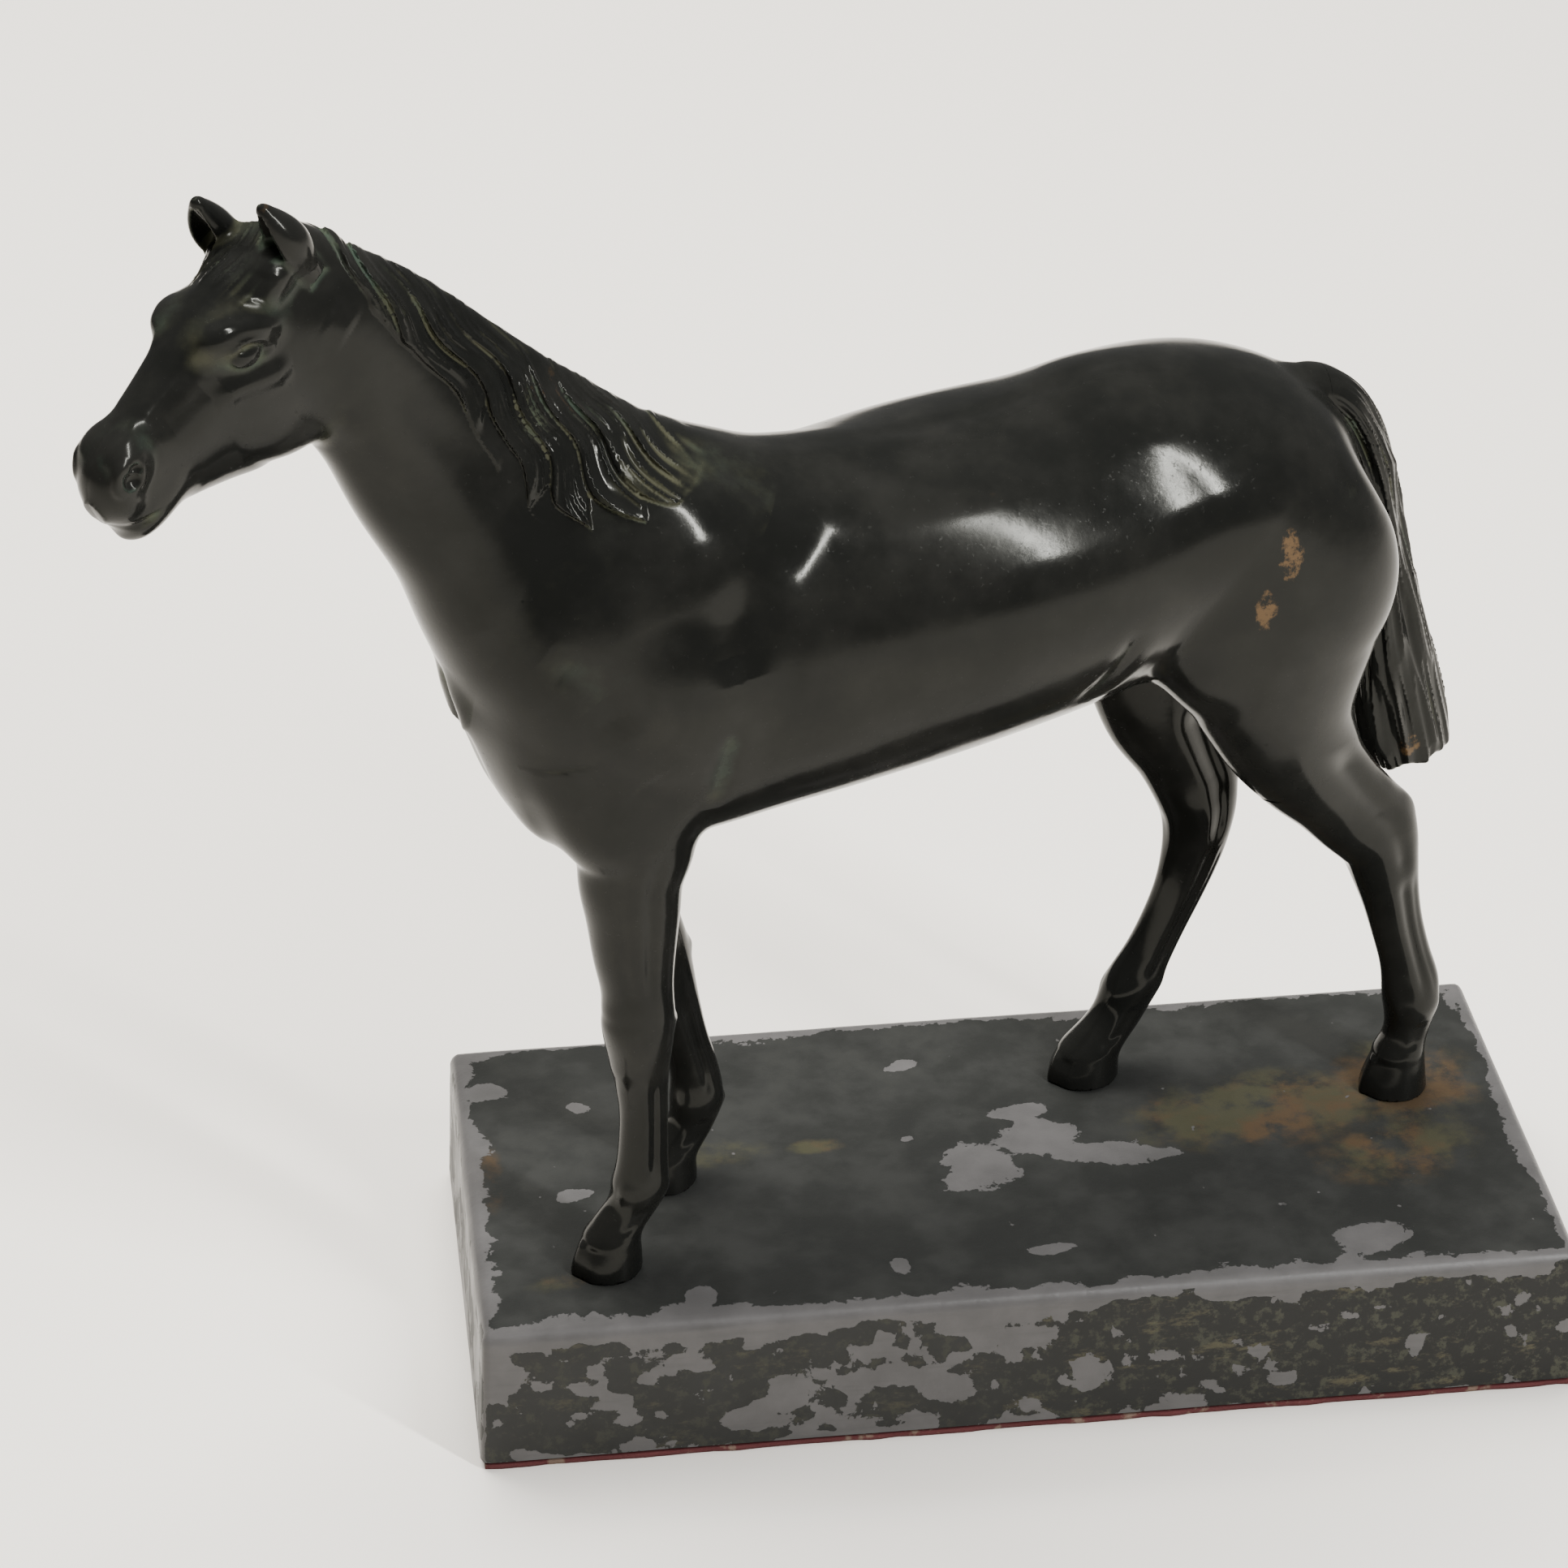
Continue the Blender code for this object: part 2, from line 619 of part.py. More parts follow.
def add_screw(name, foot, slab, leg, steel):
    """A slotted screw with a washer, up through the slab into the hoof that stands over it."""
    centre = on_base(foot)
    seat = FELT_THICKNESS + GAP + COUNTERBORE_DEPTH
    shank_top = BASE_TOP + SCREW_REACH_IN_HOOF
    hole_radius = SCREW_RADIUS + GAP
    drill = [(COUNTERBORE_RADIUS, -1.0), (COUNTERBORE_RADIUS, seat)]
    drill += [(hole_radius, seat), (hole_radius, shank_top + GAP)]
    hole = add_object(f"{name}_drill_shape", turned_body(centre, drill), None)
    boolean(slab, hole, "DIFFERENCE")
    boolean(leg, hole, "DIFFERENCE")
    washer_top = seat - GAP
    washer_bottom = washer_top - WASHER_THICKNESS
    section = [(hole_radius, washer_bottom), (WASHER_RADIUS, washer_bottom)]
    section += [(WASHER_RADIUS, washer_top), (hole_radius, washer_top)]
    add_object(f"{name}_washer", turned_body(centre, section, closed_ring=True), steel)
    head_top = washer_bottom - GAP
    head_bottom = head_top - SCREW_HEAD_HEIGHT
    outline = [(SCREW_HEAD_RADIUS, head_bottom), (SCREW_HEAD_RADIUS, head_top)]
    outline += [(SCREW_RADIUS, head_top), (SCREW_RADIUS, shank_top)]
    screw = add_object(f"{name}_screw", turned_body(centre, outline), steel)
    slot = bmesh.new()
    bmesh.ops.create_cube(slot, size=1.0)
    slot_size = (4.0 * SCREW_HEAD_RADIUS, SCREW_SLOT_WIDTH, 2.0 * SCREW_SLOT_DEPTH)
    bmesh.ops.scale(slot, vec=slot_size, verts=slot.verts)
    bmesh.ops.translate(slot, vec=(centre.x, centre.y, head_bottom), verts=slot.verts)
    boolean(screw, add_object(f"{name}_slot_shape", slot, None), "DIFFERENCE")


def add_base(legs, stone, felt, steel):
    slab = add_object("base_slab", slab_body(), stone)
    add_object("felt_pad", felt_body(), felt)
    for name, foot in HOOF_CENTRES.items():
        add_screw(name, foot, slab, legs[name], steel)


def main():
    clear_scene()
    bronze = make_material("black_patinated_bronze", (0.018, 0.019, 0.017), 0.28, 1.0)
    pin_metal = make_material("bronze_pin", (0.20, 0.14, 0.08), 0.4, 1.0)
    stone = make_material("blackened_slab", (0.05, 0.05, 0.048), 0.45, 0.0)
    felt = make_material("red_felt", (0.13, 0.02, 0.02), 0.95, 0.0)
    steel = make_material("screw_steel", (0.45, 0.45, 0.46), 0.35, 1.0)
    legs = add_horse(bronze, pin_metal)
    add_base(legs, stone, felt, steel)


main()
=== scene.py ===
"""The bronze horse statuette as it looks: sculpted castings on a slab with a worn black coating.

Shapes are distance fields in millimetres, turned into meshes by surface nets. The horse has a frame of
its own: origin on the slab's top, -X towards the head, -Y towards the horse's left side. It stands turned
by HORSE_TURN on the slab, whose frame is the world's.
"""

import math

import bmesh
import bpy
import numpy as np
from mathutils import Matrix, Vector


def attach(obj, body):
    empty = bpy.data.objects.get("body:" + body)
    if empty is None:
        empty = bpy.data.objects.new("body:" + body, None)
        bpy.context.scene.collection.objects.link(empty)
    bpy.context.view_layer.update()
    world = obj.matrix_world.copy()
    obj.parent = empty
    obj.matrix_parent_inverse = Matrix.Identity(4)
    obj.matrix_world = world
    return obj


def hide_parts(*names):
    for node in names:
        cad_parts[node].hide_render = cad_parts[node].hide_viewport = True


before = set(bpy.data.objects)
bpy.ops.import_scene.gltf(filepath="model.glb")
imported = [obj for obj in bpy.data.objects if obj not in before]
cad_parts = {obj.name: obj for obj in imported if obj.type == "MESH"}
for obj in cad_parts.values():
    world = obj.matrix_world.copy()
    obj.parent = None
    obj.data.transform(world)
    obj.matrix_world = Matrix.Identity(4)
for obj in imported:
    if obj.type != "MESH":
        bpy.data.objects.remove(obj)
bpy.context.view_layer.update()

MM = 0.001
BASE_TOP = 34.7
BASE_HALF = (120.0, 56.0)
BASE_DRAFT = 1.4
BASE_EDGE_RADIUS = 2.9
BASE_CORNER_RADIUS = 2.2
FELT_THICKNESS = 1.3
SLAB_BOTTOM = 1.6
HORSE_TURN = math.radians(15.0)
HORSE_SHIFT_Y = 4.5
FORE_JOINT_HEIGHT = 95.0
HIND_JOINT_STATION = 5
TAIL_JOINT_X = 72.5
MESH_STEP = 1.0
LEG_HALF_REACH = 16.0
LARGEST_BATCH = 400000
SWEEP_BATCH = 60000

# Trunk: x, top z, bottom z, half width, narrowing of the top
TRUNK = (
    (-119, 140, 136, 2, 0),
    (-117, 147, 129, 8, 0),
    (-113, 160, 117, 16, 0),
    (-105, 172, 107.5, 22, 0.05),
    (-95, 182, 103, 25.5, 0.15),
    (-82, 188.8, 101.5, 27.5, 0.30),
    (-70, 188, 102.5, 29.5, 0.25),
    (-56, 184.4, 104, 31.8, 0.12),
    (-40, 181.6, 105.5, 33.2, 0.05),
    (-15, 181, 108.3, 34, 0),
    (5, 183.5, 111.5, 33.5, 0),
    (20, 187, 114, 32.5, 0),
    (36, 187, 118, 31, 0),
    (52, 184, 121, 28.5, 0),
    (64, 179, 126, 23.5, 0),
    (74, 171, 134, 16, 0),
    (80, 160, 144, 7, 0),
    (81.5, 154, 150, 2, 0),
)

# Neck: x, y, z, half depth, half width, narrowing towards the crest
NECK = (
    (-80, 0, 150, 36, 22, 0.25),
    (-90, 0, 160.5, 36, 22, 0.30),
    (-98.7, 0, 171.9, 32.4, 19.5, 0.35),
    (-107.7, 0, 184.1, 27.8, 16, 0.35),
    (-117.8, -0.2, 196.6, 24.3, 13, 0.35),
    (-127.5, -0.8, 209.9, 20.7, 11.2, 0.35),
    (-137, -2, 220.8, 18.6, 10.2, 0.30),
    (-147, -4, 230, 16.5, 9.5, 0.20),
    (-154, -3.6, 236.5, 14, 8.6, 0.15),
    (-160, -4.8, 241, 11, 7, 0.10),
)

# Head frame: u along the face from the poll, s to the horse's left, n out of the forehead
POLL = (-155.0, -5.0, 249.0)
HEAD_YAW = math.radians(27.0)
HEAD_SLOPE = math.radians(29.0)
HEAD = (
    (-9.5, -9, -17, 3, 0),
    (-8, -4.5, -22, 6.8, 0),
    (-2, -0.8, -28.5, 8.6, 0.05),
    (5, 1.2, -35.5, 9.7, -0.05),
    (12, 2.4, -38.8, 9.9, -0.16),
    (19, 2.2, -39.4, 9.6, -0.22),
    (26, 1, -38.4, 8.8, -0.24),
    (33, -0.3, -34, 7.6, -0.22),
    (41, -1.4, -29.2, 6.5, -0.16),
    (47, -2.1, -25.6, 6, -0.10),
    (52.5, -3.6, -23.4, 6, 0),
    (56.3, -6, -21.4, 5, 0),
    (58.4, -9.5, -17, 2.6, 0),
    (59, -11.5, -13.8, 0.8, 0),
)
EAR_SIDE = 6.2

# Limbs: x, y, z, half size fore and aft, half size across
LEFT_FORE = (
    (-91, -15, 128, 18, 9),
    (-89.5, -16, 116, 16, 10.5),
    (-87.9, -15.5, 106, 13, 9.5),
    (-88.7, -15, 98, 11.2, 8.6),
    (-88.3, -14.6, 90, 10.1, 8),
    (-88.1, -14.2, 80, 8.9, 7.2),
    (-87.5, -13.8, 70.4, 7.7, 6.4),
    (-87.4, -13.6, 62.6, 7.9, 6.9),
    (-87.1, -13.4, 54.8, 7, 6.4),
    (-86.8, -13.2, 47.5, 5.9, 4.9),
    (-86.4, -13, 38, 5.3, 4.1),
    (-86.8, -12.8, 27, 5.6, 4.4),
    (-87.6, -12.6, 19.5, 6.2, 5.2),
    (-89.8, -12.5, 14.2, 5, 4.8),
    (-92.4, -12.4, 10.4, 5.2, 5.2),
    (-93.8, -12.3, 6.5, 6.6, 6.5),
    (-95, -12.3, 0.3, 8.1, 7.7),
)
RIGHT_FORE = (
    (-89, 15, 128, 18, 9),
    (-87, 16, 116, 16, 10.5),
    (-84.5, 15.5, 106, 13, 9.5),
    (-82, 15, 98, 11.2, 8.6),
    (-80, 14.6, 90, 10.1, 8),
    (-77.5, 14.2, 79, 8.5, 7.2),
    (-75.5, 14, 69, 7.4, 6.4),
    (-73.6, 13.8, 61, 7.5, 6.8),
    (-71.4, 13.7, 53, 6.6, 6.2),
    (-69.6, 13.6, 46, 5.8, 4.9),
    (-67.1, 13.5, 36, 5.1, 4.1),
    (-65, 13.5, 27, 5.4, 4.4),
    (-64.6, 13.4, 19.5, 6, 5.1),
    (-66.3, 13.4, 13, 4.9, 4.7),
    (-69.2, 13.4, 9, 5.2, 5.1),
    (-71.2, 13.4, 5.5, 6.6, 6.4),
    (-72.6, 13.4, 0.3, 8, 7.6),
)
LEFT_HIND = (
    (44, -13, 158, 13, 7.5),
    (50, -16.5, 150, 24, 13.5),
    (54.5, -18, 138, 28, 15.5),
    (55.5, -18, 122, 23.5, 14),
    (59, -17.5, 105, 16.6, 11),
    (65.5, -16.8, 92.4, 12.9, 8.6),
    (72.9, -16, 82.9, 10.8, 7.2),
    (79.4, -15.5, 75.2, 10.4, 6.4),
    (84.4, -15.2, 68.8, 9.6, 6.2),
    (86.8, -15.2, 61, 8.2, 5.9),
    (88.9, -15.2, 52.7, 6.8, 4.9),
    (91.1, -15.2, 44, 6.1, 4.2),
    (93.8, -15.2, 34.7, 6, 4.1),
    (95.8, -15.2, 26.3, 6.8, 5),
    (96.1, -15.2, 19.6, 6, 5),
    (95.3, -15.2, 13.5, 5, 4.8),
    (94.2, -15.2, 9.5, 5.9, 5.7),
    (93.2, -15.2, 0.3, 8.3, 7.7),
)
RIGHT_HIND = (
    (44, 13, 158, 13, 7.5),
    (49, 16.5, 150, 24, 13.5),
    (51, 18, 138, 27, 15.5),
    (47, 18, 122, 23, 14),
    (45.1, 17.5, 105, 16.8, 11),
    (46.5, 17, 92, 13.2, 8.8),
    (51.4, 16.5, 80.5, 10.4, 7.1),
    (55, 16.3, 72.3, 9.8, 6.3),
    (56.8, 16.3, 65.5, 9.2, 6.1),
    (56.5, 16.3, 57.5, 7.9, 5.8),
    (55.1, 16.4, 50.5, 7, 4.9),
    (52.9, 16.5, 43.5, 6.2, 4.2),
    (49.6, 16.6, 35.8, 5.7, 4.1),
    (46, 16.8, 28, 5.8, 4.3),
    (42, 16.8, 20.5, 6.6, 5),
    (38.6, 16.5, 13.8, 5.8, 5),
    (35, 16, 9.5, 5.6, 5.4),
    (32.2, 15.6, 5.8, 6.8, 6.6),
    (30.2, 15.4, 0.3, 8.5, 7.7),
)
TAIL = (
    (62, 0, 172.5, 4.5, 4.5),
    (69, 0, 173.6, 5.2, 5.2),
    (76.3, 0, 169, 5.6, 5.6),
    (82, 0, 159.5, 5.9, 6),
    (85.9, 0, 146, 6.1, 6.4),
    (89.6, 0, 125.7, 7.2, 6.8),
    (93.2, 0, 104.8, 10.1, 7.2),
    (96.6, 0, 89.7, 11.4, 7.2),
    (98.8, 0, 78, 10.3, 6.8),
    (99.6, 0, 70, 10, 6.4),
)
LEGS = {
    "left_fore": (LEFT_FORE, False),
    "right_fore": (RIGHT_FORE, False),
    "left_hind": (LEFT_HIND, True),
    "right_hind": (RIGHT_HIND, True),
}
# Heights on each leg: middle of knee or hock, its lower rim, fetlock, coronet
LEG_HEIGHTS = {
    "left_fore": (60.0, 49.0, 20.0, 8.6),
    "right_fore": (59.0, 48.0, 20.0, 7.4),
    "left_hind": (70.0, 58.0, 22.0, 10.0),
    "right_hind": (67.0, 56.0, 21.0, 7.6),
}

FAR = 12.0


# Numbers and noise


def catmull(rows, spacing):
    """Rows resampled at an even spacing on a Catmull-Rom curve; the first three columns are a place."""
    rows = np.array(rows, float)
    ends = np.vstack([rows[:1], rows, rows[-1:]])
    fine = []
    for i in range(len(rows) - 1):
        a, b, c, d = ends[i : i + 4]
        for t in np.linspace(0.0, 1.0, 24, endpoint=False):
            fine.append(
                0.5
                * (
                    2.0 * b
                    + (c - a) * t
                    + (2.0 * a - 5.0 * b + 4.0 * c - d) * t**2
                    + (3.0 * b - 3.0 * c + d - a) * t**3
                )
            )
    fine.append(rows[-1])
    fine = np.array(fine)
    steps = np.linalg.norm(np.diff(fine[:, :3], axis=0), axis=1)
    run = np.concatenate([[0.0], np.cumsum(steps)])
    count = max(int(round(run[-1] / spacing)), 2)
    at = np.linspace(0.0, run[-1], count + 1)
    return np.stack([np.interp(at, run, fine[:, i]) for i in range(fine.shape[1])], axis=1)


def smooth_min(a, b, k):
    h = np.maximum(k - np.abs(a - b), 0.0) / k
    return np.minimum(a, b) - h * h * k * 0.25


def smooth_max(a, b, k):
    return -smooth_min(-a, -b, k)


def fade(value, low, high):
    """0 below low, 1 above high, smooth between."""
    t = np.clip((value - low) / (high - low), 0.0, 1.0)
    return t * t * (3.0 - 2.0 * t)


def window(value, low, high, soft):
    return fade(value, low - soft, low + soft) * (1.0 - fade(value, high - soft, high + soft))


def bell(value, width):
    return np.exp(-((value / width) ** 2))


def hashed(cells, seed):
    """A number from -1 to 1 for each row of whole numbers."""
    h = np.full(len(cells), seed, np.int64)
    for i in range(cells.shape[1]):
        h = (h * 1000003) ^ cells[:, i]
        h = (h ^ (h >> 13)) * 1274126177 & 0x7FFFFFFF
    return (h & 0xFFFF) / 32767.5 - 1.0


def noise(points, size, seed=0):
    """Smooth noise from -1 to 1 with cells of that size (one number or one for each axis)."""
    q = points / np.asarray(size, float)
    base = np.floor(q)
    t = q - base
    t = t * t * (3.0 - 2.0 * t)
    base = base.astype(np.int64)
    total = np.zeros(len(points))
    axes = points.shape[1]
    for corner in range(2**axes):
        offset = np.array([(corner >> i) & 1 for i in range(axes)])
        weight = np.prod(np.where(offset, t, 1.0 - t), axis=1)
        total += weight * hashed(base + offset, seed)
    return total


def to_head(p):
    level = np.array([-math.cos(HEAD_YAW), -math.sin(HEAD_YAW), 0.0])
    face = level * math.cos(HEAD_SLOPE) - np.array([0.0, 0.0, math.sin(HEAD_SLOPE)])
    left = np.cross([0.0, 0.0, 1.0], level)
    out = np.cross(face, left)
    d = p - np.array(POLL)
    return np.stack([d @ face, d @ left, d @ out], axis=1)


# Distance fields


def section_field(a, s, half_along, half_across):
    """Distance from an ellipse, near enough for points close to it."""
    r2 = (a / half_along) ** 2 + (s / half_across) ** 2
    g2 = (a / half_along**2) ** 2 + (s / half_across**2) ** 2
    k0 = np.sqrt(r2) + 1e-6
    return k0 * (k0 - 1.0) / (np.sqrt(g2) + 1e-4)


def blended_rows(keys, distance2, width):
    """Each point's smooth average of the rows near it."""
    distance2 = distance2 - distance2.min(axis=1, keepdims=True)
    distance2 *= -1.0 / width**2
    weights = np.exp(distance2)
    return (weights @ keys) / weights.sum(axis=1, keepdims=True)


class Loft:
    """A body of egg-shaped sections along one straight axis.

    Its rows hold position, top, bottom, half width and narrowing.
    """

    def __init__(self, rows, spacing=1.5):
        rows = np.array(rows, float)
        padded = np.column_stack([rows[:, 0], np.zeros((len(rows), 2)), rows[:, 1:]])
        fine = catmull(padded, spacing)
        self.at = np.arange(fine[0, 0], fine[-1, 0] + 0.05, 0.05)
        d2 = (self.at[:, None] - fine[:, 0][None, :]) ** 2
        self.rows = blended_rows(fine[:, 3:], d2, spacing * 1.5)

    def field(self, axis, across, up):
        top, bottom, width, narrowing = (np.interp(axis, self.at, column) for column in self.rows.T)
        half = np.maximum((top - bottom) / 2.0, 0.5)
        a = up - (top + bottom) / 2.0
        side = np.maximum(width * (1.0 - narrowing * np.clip(a / half, -1.2, 1.2)), 0.4)
        f = section_field(a, across, half, side)
        over = np.maximum(self.at[0] - axis, axis - self.at[-1])
        return np.where(over > 0.0, np.hypot(np.maximum(f, 0.0), over), f)


class Sweep:
    """A limb along a path: rows of x, y, z, half size along, half size across, and maybe narrowing."""

    def __init__(self, rows, spacing=1.6, side=(0.0, 1.0, 0.0), level_end=False):
        fine = catmull(rows, spacing)
        centre = fine[:, :3]
        travel = np.gradient(centre, axis=0)
        if level_end:
            travel[-4:] = (0.0, 0.0, -1.0)
        travel /= np.linalg.norm(travel, axis=1, keepdims=True)
        side = np.array(side) - travel * (travel @ np.array(side))[:, None]
        side /= np.linalg.norm(side, axis=1, keepdims=True)
        along = np.cross(side, travel)
        narrowing = fine[:, 5:6] if fine.shape[1] > 5 else np.zeros((len(fine), 1))
        run = np.arange(len(fine))[:, None] * spacing
        self.centre = centre
        self.keys = np.column_stack([centre, travel, side, along, fine[:, 3:5], narrowing, run])
        self.blend = spacing * 1.5
        self.end = run[-1, 0]
        self.low = centre.min(axis=0) - fine[:, 3].max() - FAR
        self.high = centre.max(axis=0) + fine[:, 3].max() + FAR

    def local(self, p):
        """Columns: field, along, across, half along, half across, run."""
        result = np.empty((len(p), 6))
        middle = self.centre.mean(axis=0)
        spots = (self.centre - middle).astype(np.float32)
        for start in range(0, len(p), SWEEP_BATCH):
            q = p[start : start + SWEEP_BATCH]
            shifted = (q - middle).astype(np.float32)
            d2 = (spots**2).sum(axis=1) - 2.0 * (shifted @ spots.T)
            k = blended_rows(self.keys.astype(np.float32), d2, self.blend).astype(float)
            d = q - k[:, :3]
            e = (d * k[:, 3:6]).sum(axis=1)
            s = (d * k[:, 6:9]).sum(axis=1)
            a = (d * k[:, 9:12]).sum(axis=1)
            half_along, half_across = k[:, 12], k[:, 13]
            wide = half_across * (1.0 - k[:, 14] * np.clip(a / half_along, -1.2, 1.2))
            f = section_field(a, s, half_along, wide)
            run = k[:, 15]
            past = np.where(run < self.blend * 0.7, -e, np.where(run > self.end - self.blend * 0.7, e, -FAR))
            f = np.maximum(f, past - 2.0)
            result[start : start + SWEEP_BATCH] = np.stack([f, a, s, half_along, half_across, run], axis=1)
        return result


def near(p, low, high):
    return np.all((p > np.asarray(low)) & (p < np.asarray(high)), axis=1)


def ellipsoid(p, centre, radii, pitch=0.0):
    """pitch in degrees turns it about Y, its top towards +X."""
    d = p - np.array(centre)
    c, s = math.cos(math.radians(pitch)), math.sin(math.radians(pitch))
    x = d[:, 0] * c - d[:, 2] * s
    z = d[:, 0] * s + d[:, 2] * c
    q = np.stack([x, d[:, 1], z], axis=1)
    radii = np.array(radii)
    k0 = np.sqrt(((q / radii) ** 2).sum(axis=1)) + 1e-6
    k1 = np.sqrt(((q / radii**2) ** 2).sum(axis=1)) + 1e-4
    return k0 * (k0 - 1.0) / k1


def stroke(p, f, path, width, height):
    """Raises f's surface by height (or sinks it if negative) along a path."""
    path = np.array(path, float)
    if len(path) > 2:
        path = catmull(path, max(width * 0.6, 0.5))
    reach = width * 2.6
    local = np.flatnonzero(near(p, path.min(axis=0) - reach, path.max(axis=0) + reach))
    if not len(local):
        return
    q = p[local]
    best = np.full(len(q), 1e9)
    share = np.zeros(len(q))
    for i in range(len(path) - 1):
        a, b = path[i], path[i + 1]
        ab = b - a
        t = np.clip(((q - a) @ ab) / (ab @ ab + 1e-9), 0.0, 1.0)
        d2 = ((q - a - t[:, None] * ab) ** 2).sum(axis=1)
        closer = d2 < best
        best = np.where(closer, d2, best)
        share = np.where(closer, (i + t) / (len(path) - 1), share)
    taper = np.clip(np.sin(np.pi * np.clip(share, 0.02, 0.98)) * 1.6, 0.0, 1.0)
    f[local] -= height * taper * np.exp(-best / width**2)


TRUNK_LOFT = Loft(TRUNK)
NECK_SWEEP = Sweep(NECK, 2.0)
HEAD_LOFT = Loft(HEAD, 1.0)
LEG_SWEEPS = {name: Sweep(rows, 1.5, level_end=True) for name, (rows, hind) in LEGS.items()}
TAIL_SWEEP = Sweep(TAIL, 1.5)


def add_muscles(q, f, muscles):
    for centre, radii, pitch, k in muscles:
        reach = max(radii) + k + 2.0
        local = np.flatnonzero(near(q, np.array(centre) - reach, np.array(centre) + reach))
        if len(local):
            f[local] = smooth_min(f[local], ellipsoid(q[local], centre, radii, pitch), k)


# Both sides alike: centre with y out from the middle, radii, pitch, blend
TRUNK_MUSCLES = (
    ((-81, 15, 160), (22, 11.5, 26), 22, 12),
    ((-79, 20, 143), (18, 10, 15), -20, 8),
    ((-100.5, 13, 147.5), (9.6, 9, 14), -20, 6),
    ((-101.5, 9, 127.5), (8.3, 8, 13), 12, 6),
    ((-97, 8, 114), (11, 8.5, 8), 0, 6),
    ((43, 13.5, 157), (29, 16.5, 21.5), 8, 9),
    ((-9, 15.5, 150), (46, 19, 25.5), 0, 10),
    ((59, 12.5, 146), (13, 12, 24), 8, 5),
    ((36, 19, 131), (11, 10.5, 17), -18, 6),
)


# Grooves and ridges: path, width, height (negative where sunk). These are folded to one side.
TRUNK_STROKES = (
    ([(-72, 29, 141), (-73.5, 28.5, 130), (-75, 24, 118)], 2.6, -0.75),
    ([(-62, 31, 172), (-70, 29.5, 160), (-70, 29.5, 148)], 5, -1),
    ([(-108, 20.5, 158), (-99, 26, 150), (-93, 28.5, 139)], 4, -0.8),
    ([(15, 32, 145), (10.5, 31, 135), (4, 27, 126.5)], 2.6, -0.7),
    ([(20, 31, 143), (15, 30.5, 132), (10, 27, 123.5)], 3.4, 0.35),
    ([(62, 24, 168), (70, 21, 150), (71, 19.5, 128)], 3, -0.8),
    ([(80, 0, 160), (80, 0, 145), (74, 0, 122)], 3.6, -2.6),
    ([(-121, 0, 152), (-119, 0, 135), (-111, 0, 113)], 2.4, -1.6),
    ([(-60, 0, 187), (-10, 0, 181), (30, 0, 188)], 3, -0.35),
)
NECK_STROKES = (
    ([(-150, 8.5, 214), (-139, 12, 199), (-127, 15, 180), (-118, 17, 162)], 4.5, -0.8),
    ([(-140, 9, 226), (-126, 12.5, 207), (-109, 17.5, 188), (-98, 22, 172)], 5, -0.5),
    ([(-146, 9.5, 233), (-141, 10.5, 229)], 3.2, 0.9),
)
# In head coordinates: jowl, brow, poll, muzzle, chin, nostril wing, bump behind the nostril
HEAD_LUMPS = (
    ((13, 3.9, -23.4), (16.5, 6.6, 17.2), 0, 2.5),
    ((18.5, 6.7, -3.9), (7.6, 3.3, 3), -30, 5),
    ((5.5, 5.4, -2.6), (7.5, 4.4, 4.4), 0, 2.5),
    ((54.2, 1.6, -11.5), (4, 4.6, 6), -20, 2.5),
    ((49.4, 0, -20.8), (8.4, 4.8, 4), 10, 5),
    ((50.2, 4.4, -8), (4.8, 2.6, 4), 20, 2),
    ((48.8, 3, -4.6), (3.8, 2, 2), 0, 3),
)
EYE_TILT = -31.0
# Upper lid, lower lid, brow, facial crest, hollow of the nose, its edge, temple, jaw groove, groove behind
# the jowl, mouth, nostril's front rim, nostril's rear rim
HEAD_STROKES = (
    ([(14.2, 9.8, -11.4), (16.8, 10.8, -6.8), (20.5, 11, -4.2), (25.8, 9.4, -4.6)], 1, 0.5),
    ([(14.2, 9.8, -11.4), (18.6, 10.8, -10.4), (22.8, 10.2, -8.6), (25.8, 9.4, -4.6)], 0.9, 0.3),
    ([(12, 9.6, -10), (15.5, 10.2, -4.6), (19.4, 9.2, -0.6), (24.5, 6.4, 1)], 1.5, 0.5),
    ([(13.6, 10.4, -17.2), (19, 10.9, -15.2), (26, 9.9, -11.8), (31, 8.4, -10.4)], 2.4, 0.7),
    ([(27, 8.2, -7), (35, 6.8, -7.4), (43, 5.4, -7.2)], 3.6, -0.45),
    ([(24, 4.5, 0.2), (36, 3.6, -2), (46, 3, -3)], 1.8, 0.4),
    ([(7, 7.2, 0.5), (12.5, 8.8, -1)], 2.4, -0.5),
    ([(20, 0, -37), (30, 0, -31.5), (42, 0, -25.5)], 2, -1),
    ([(-1.5, 8.5, -31), (-3.2, 9.2, -20), (-2.5, 9.2, -6)], 2.2, -0.7),
    ([(60.4, 0, -15.4), (58.4, 3.6, -17.6), (54.5, 5.1, -19), (49.5, 5.3, -20.2)], 0.85, -0.55),
    ([(50, 5.4, -5), (53.4, 6, -5.4), (55.4, 5.6, -8), (54.8, 5.8, -10.8)], 1, 0.7),
    ([(48.6, 6, -6.6), (49.6, 6.7, -9.2), (52, 6.4, -11.2)], 0.9, 0.45),
)


def add_strokes(p, f, strokes):
    for path, width, height in strokes:
        stroke(p, f, path, width, height)


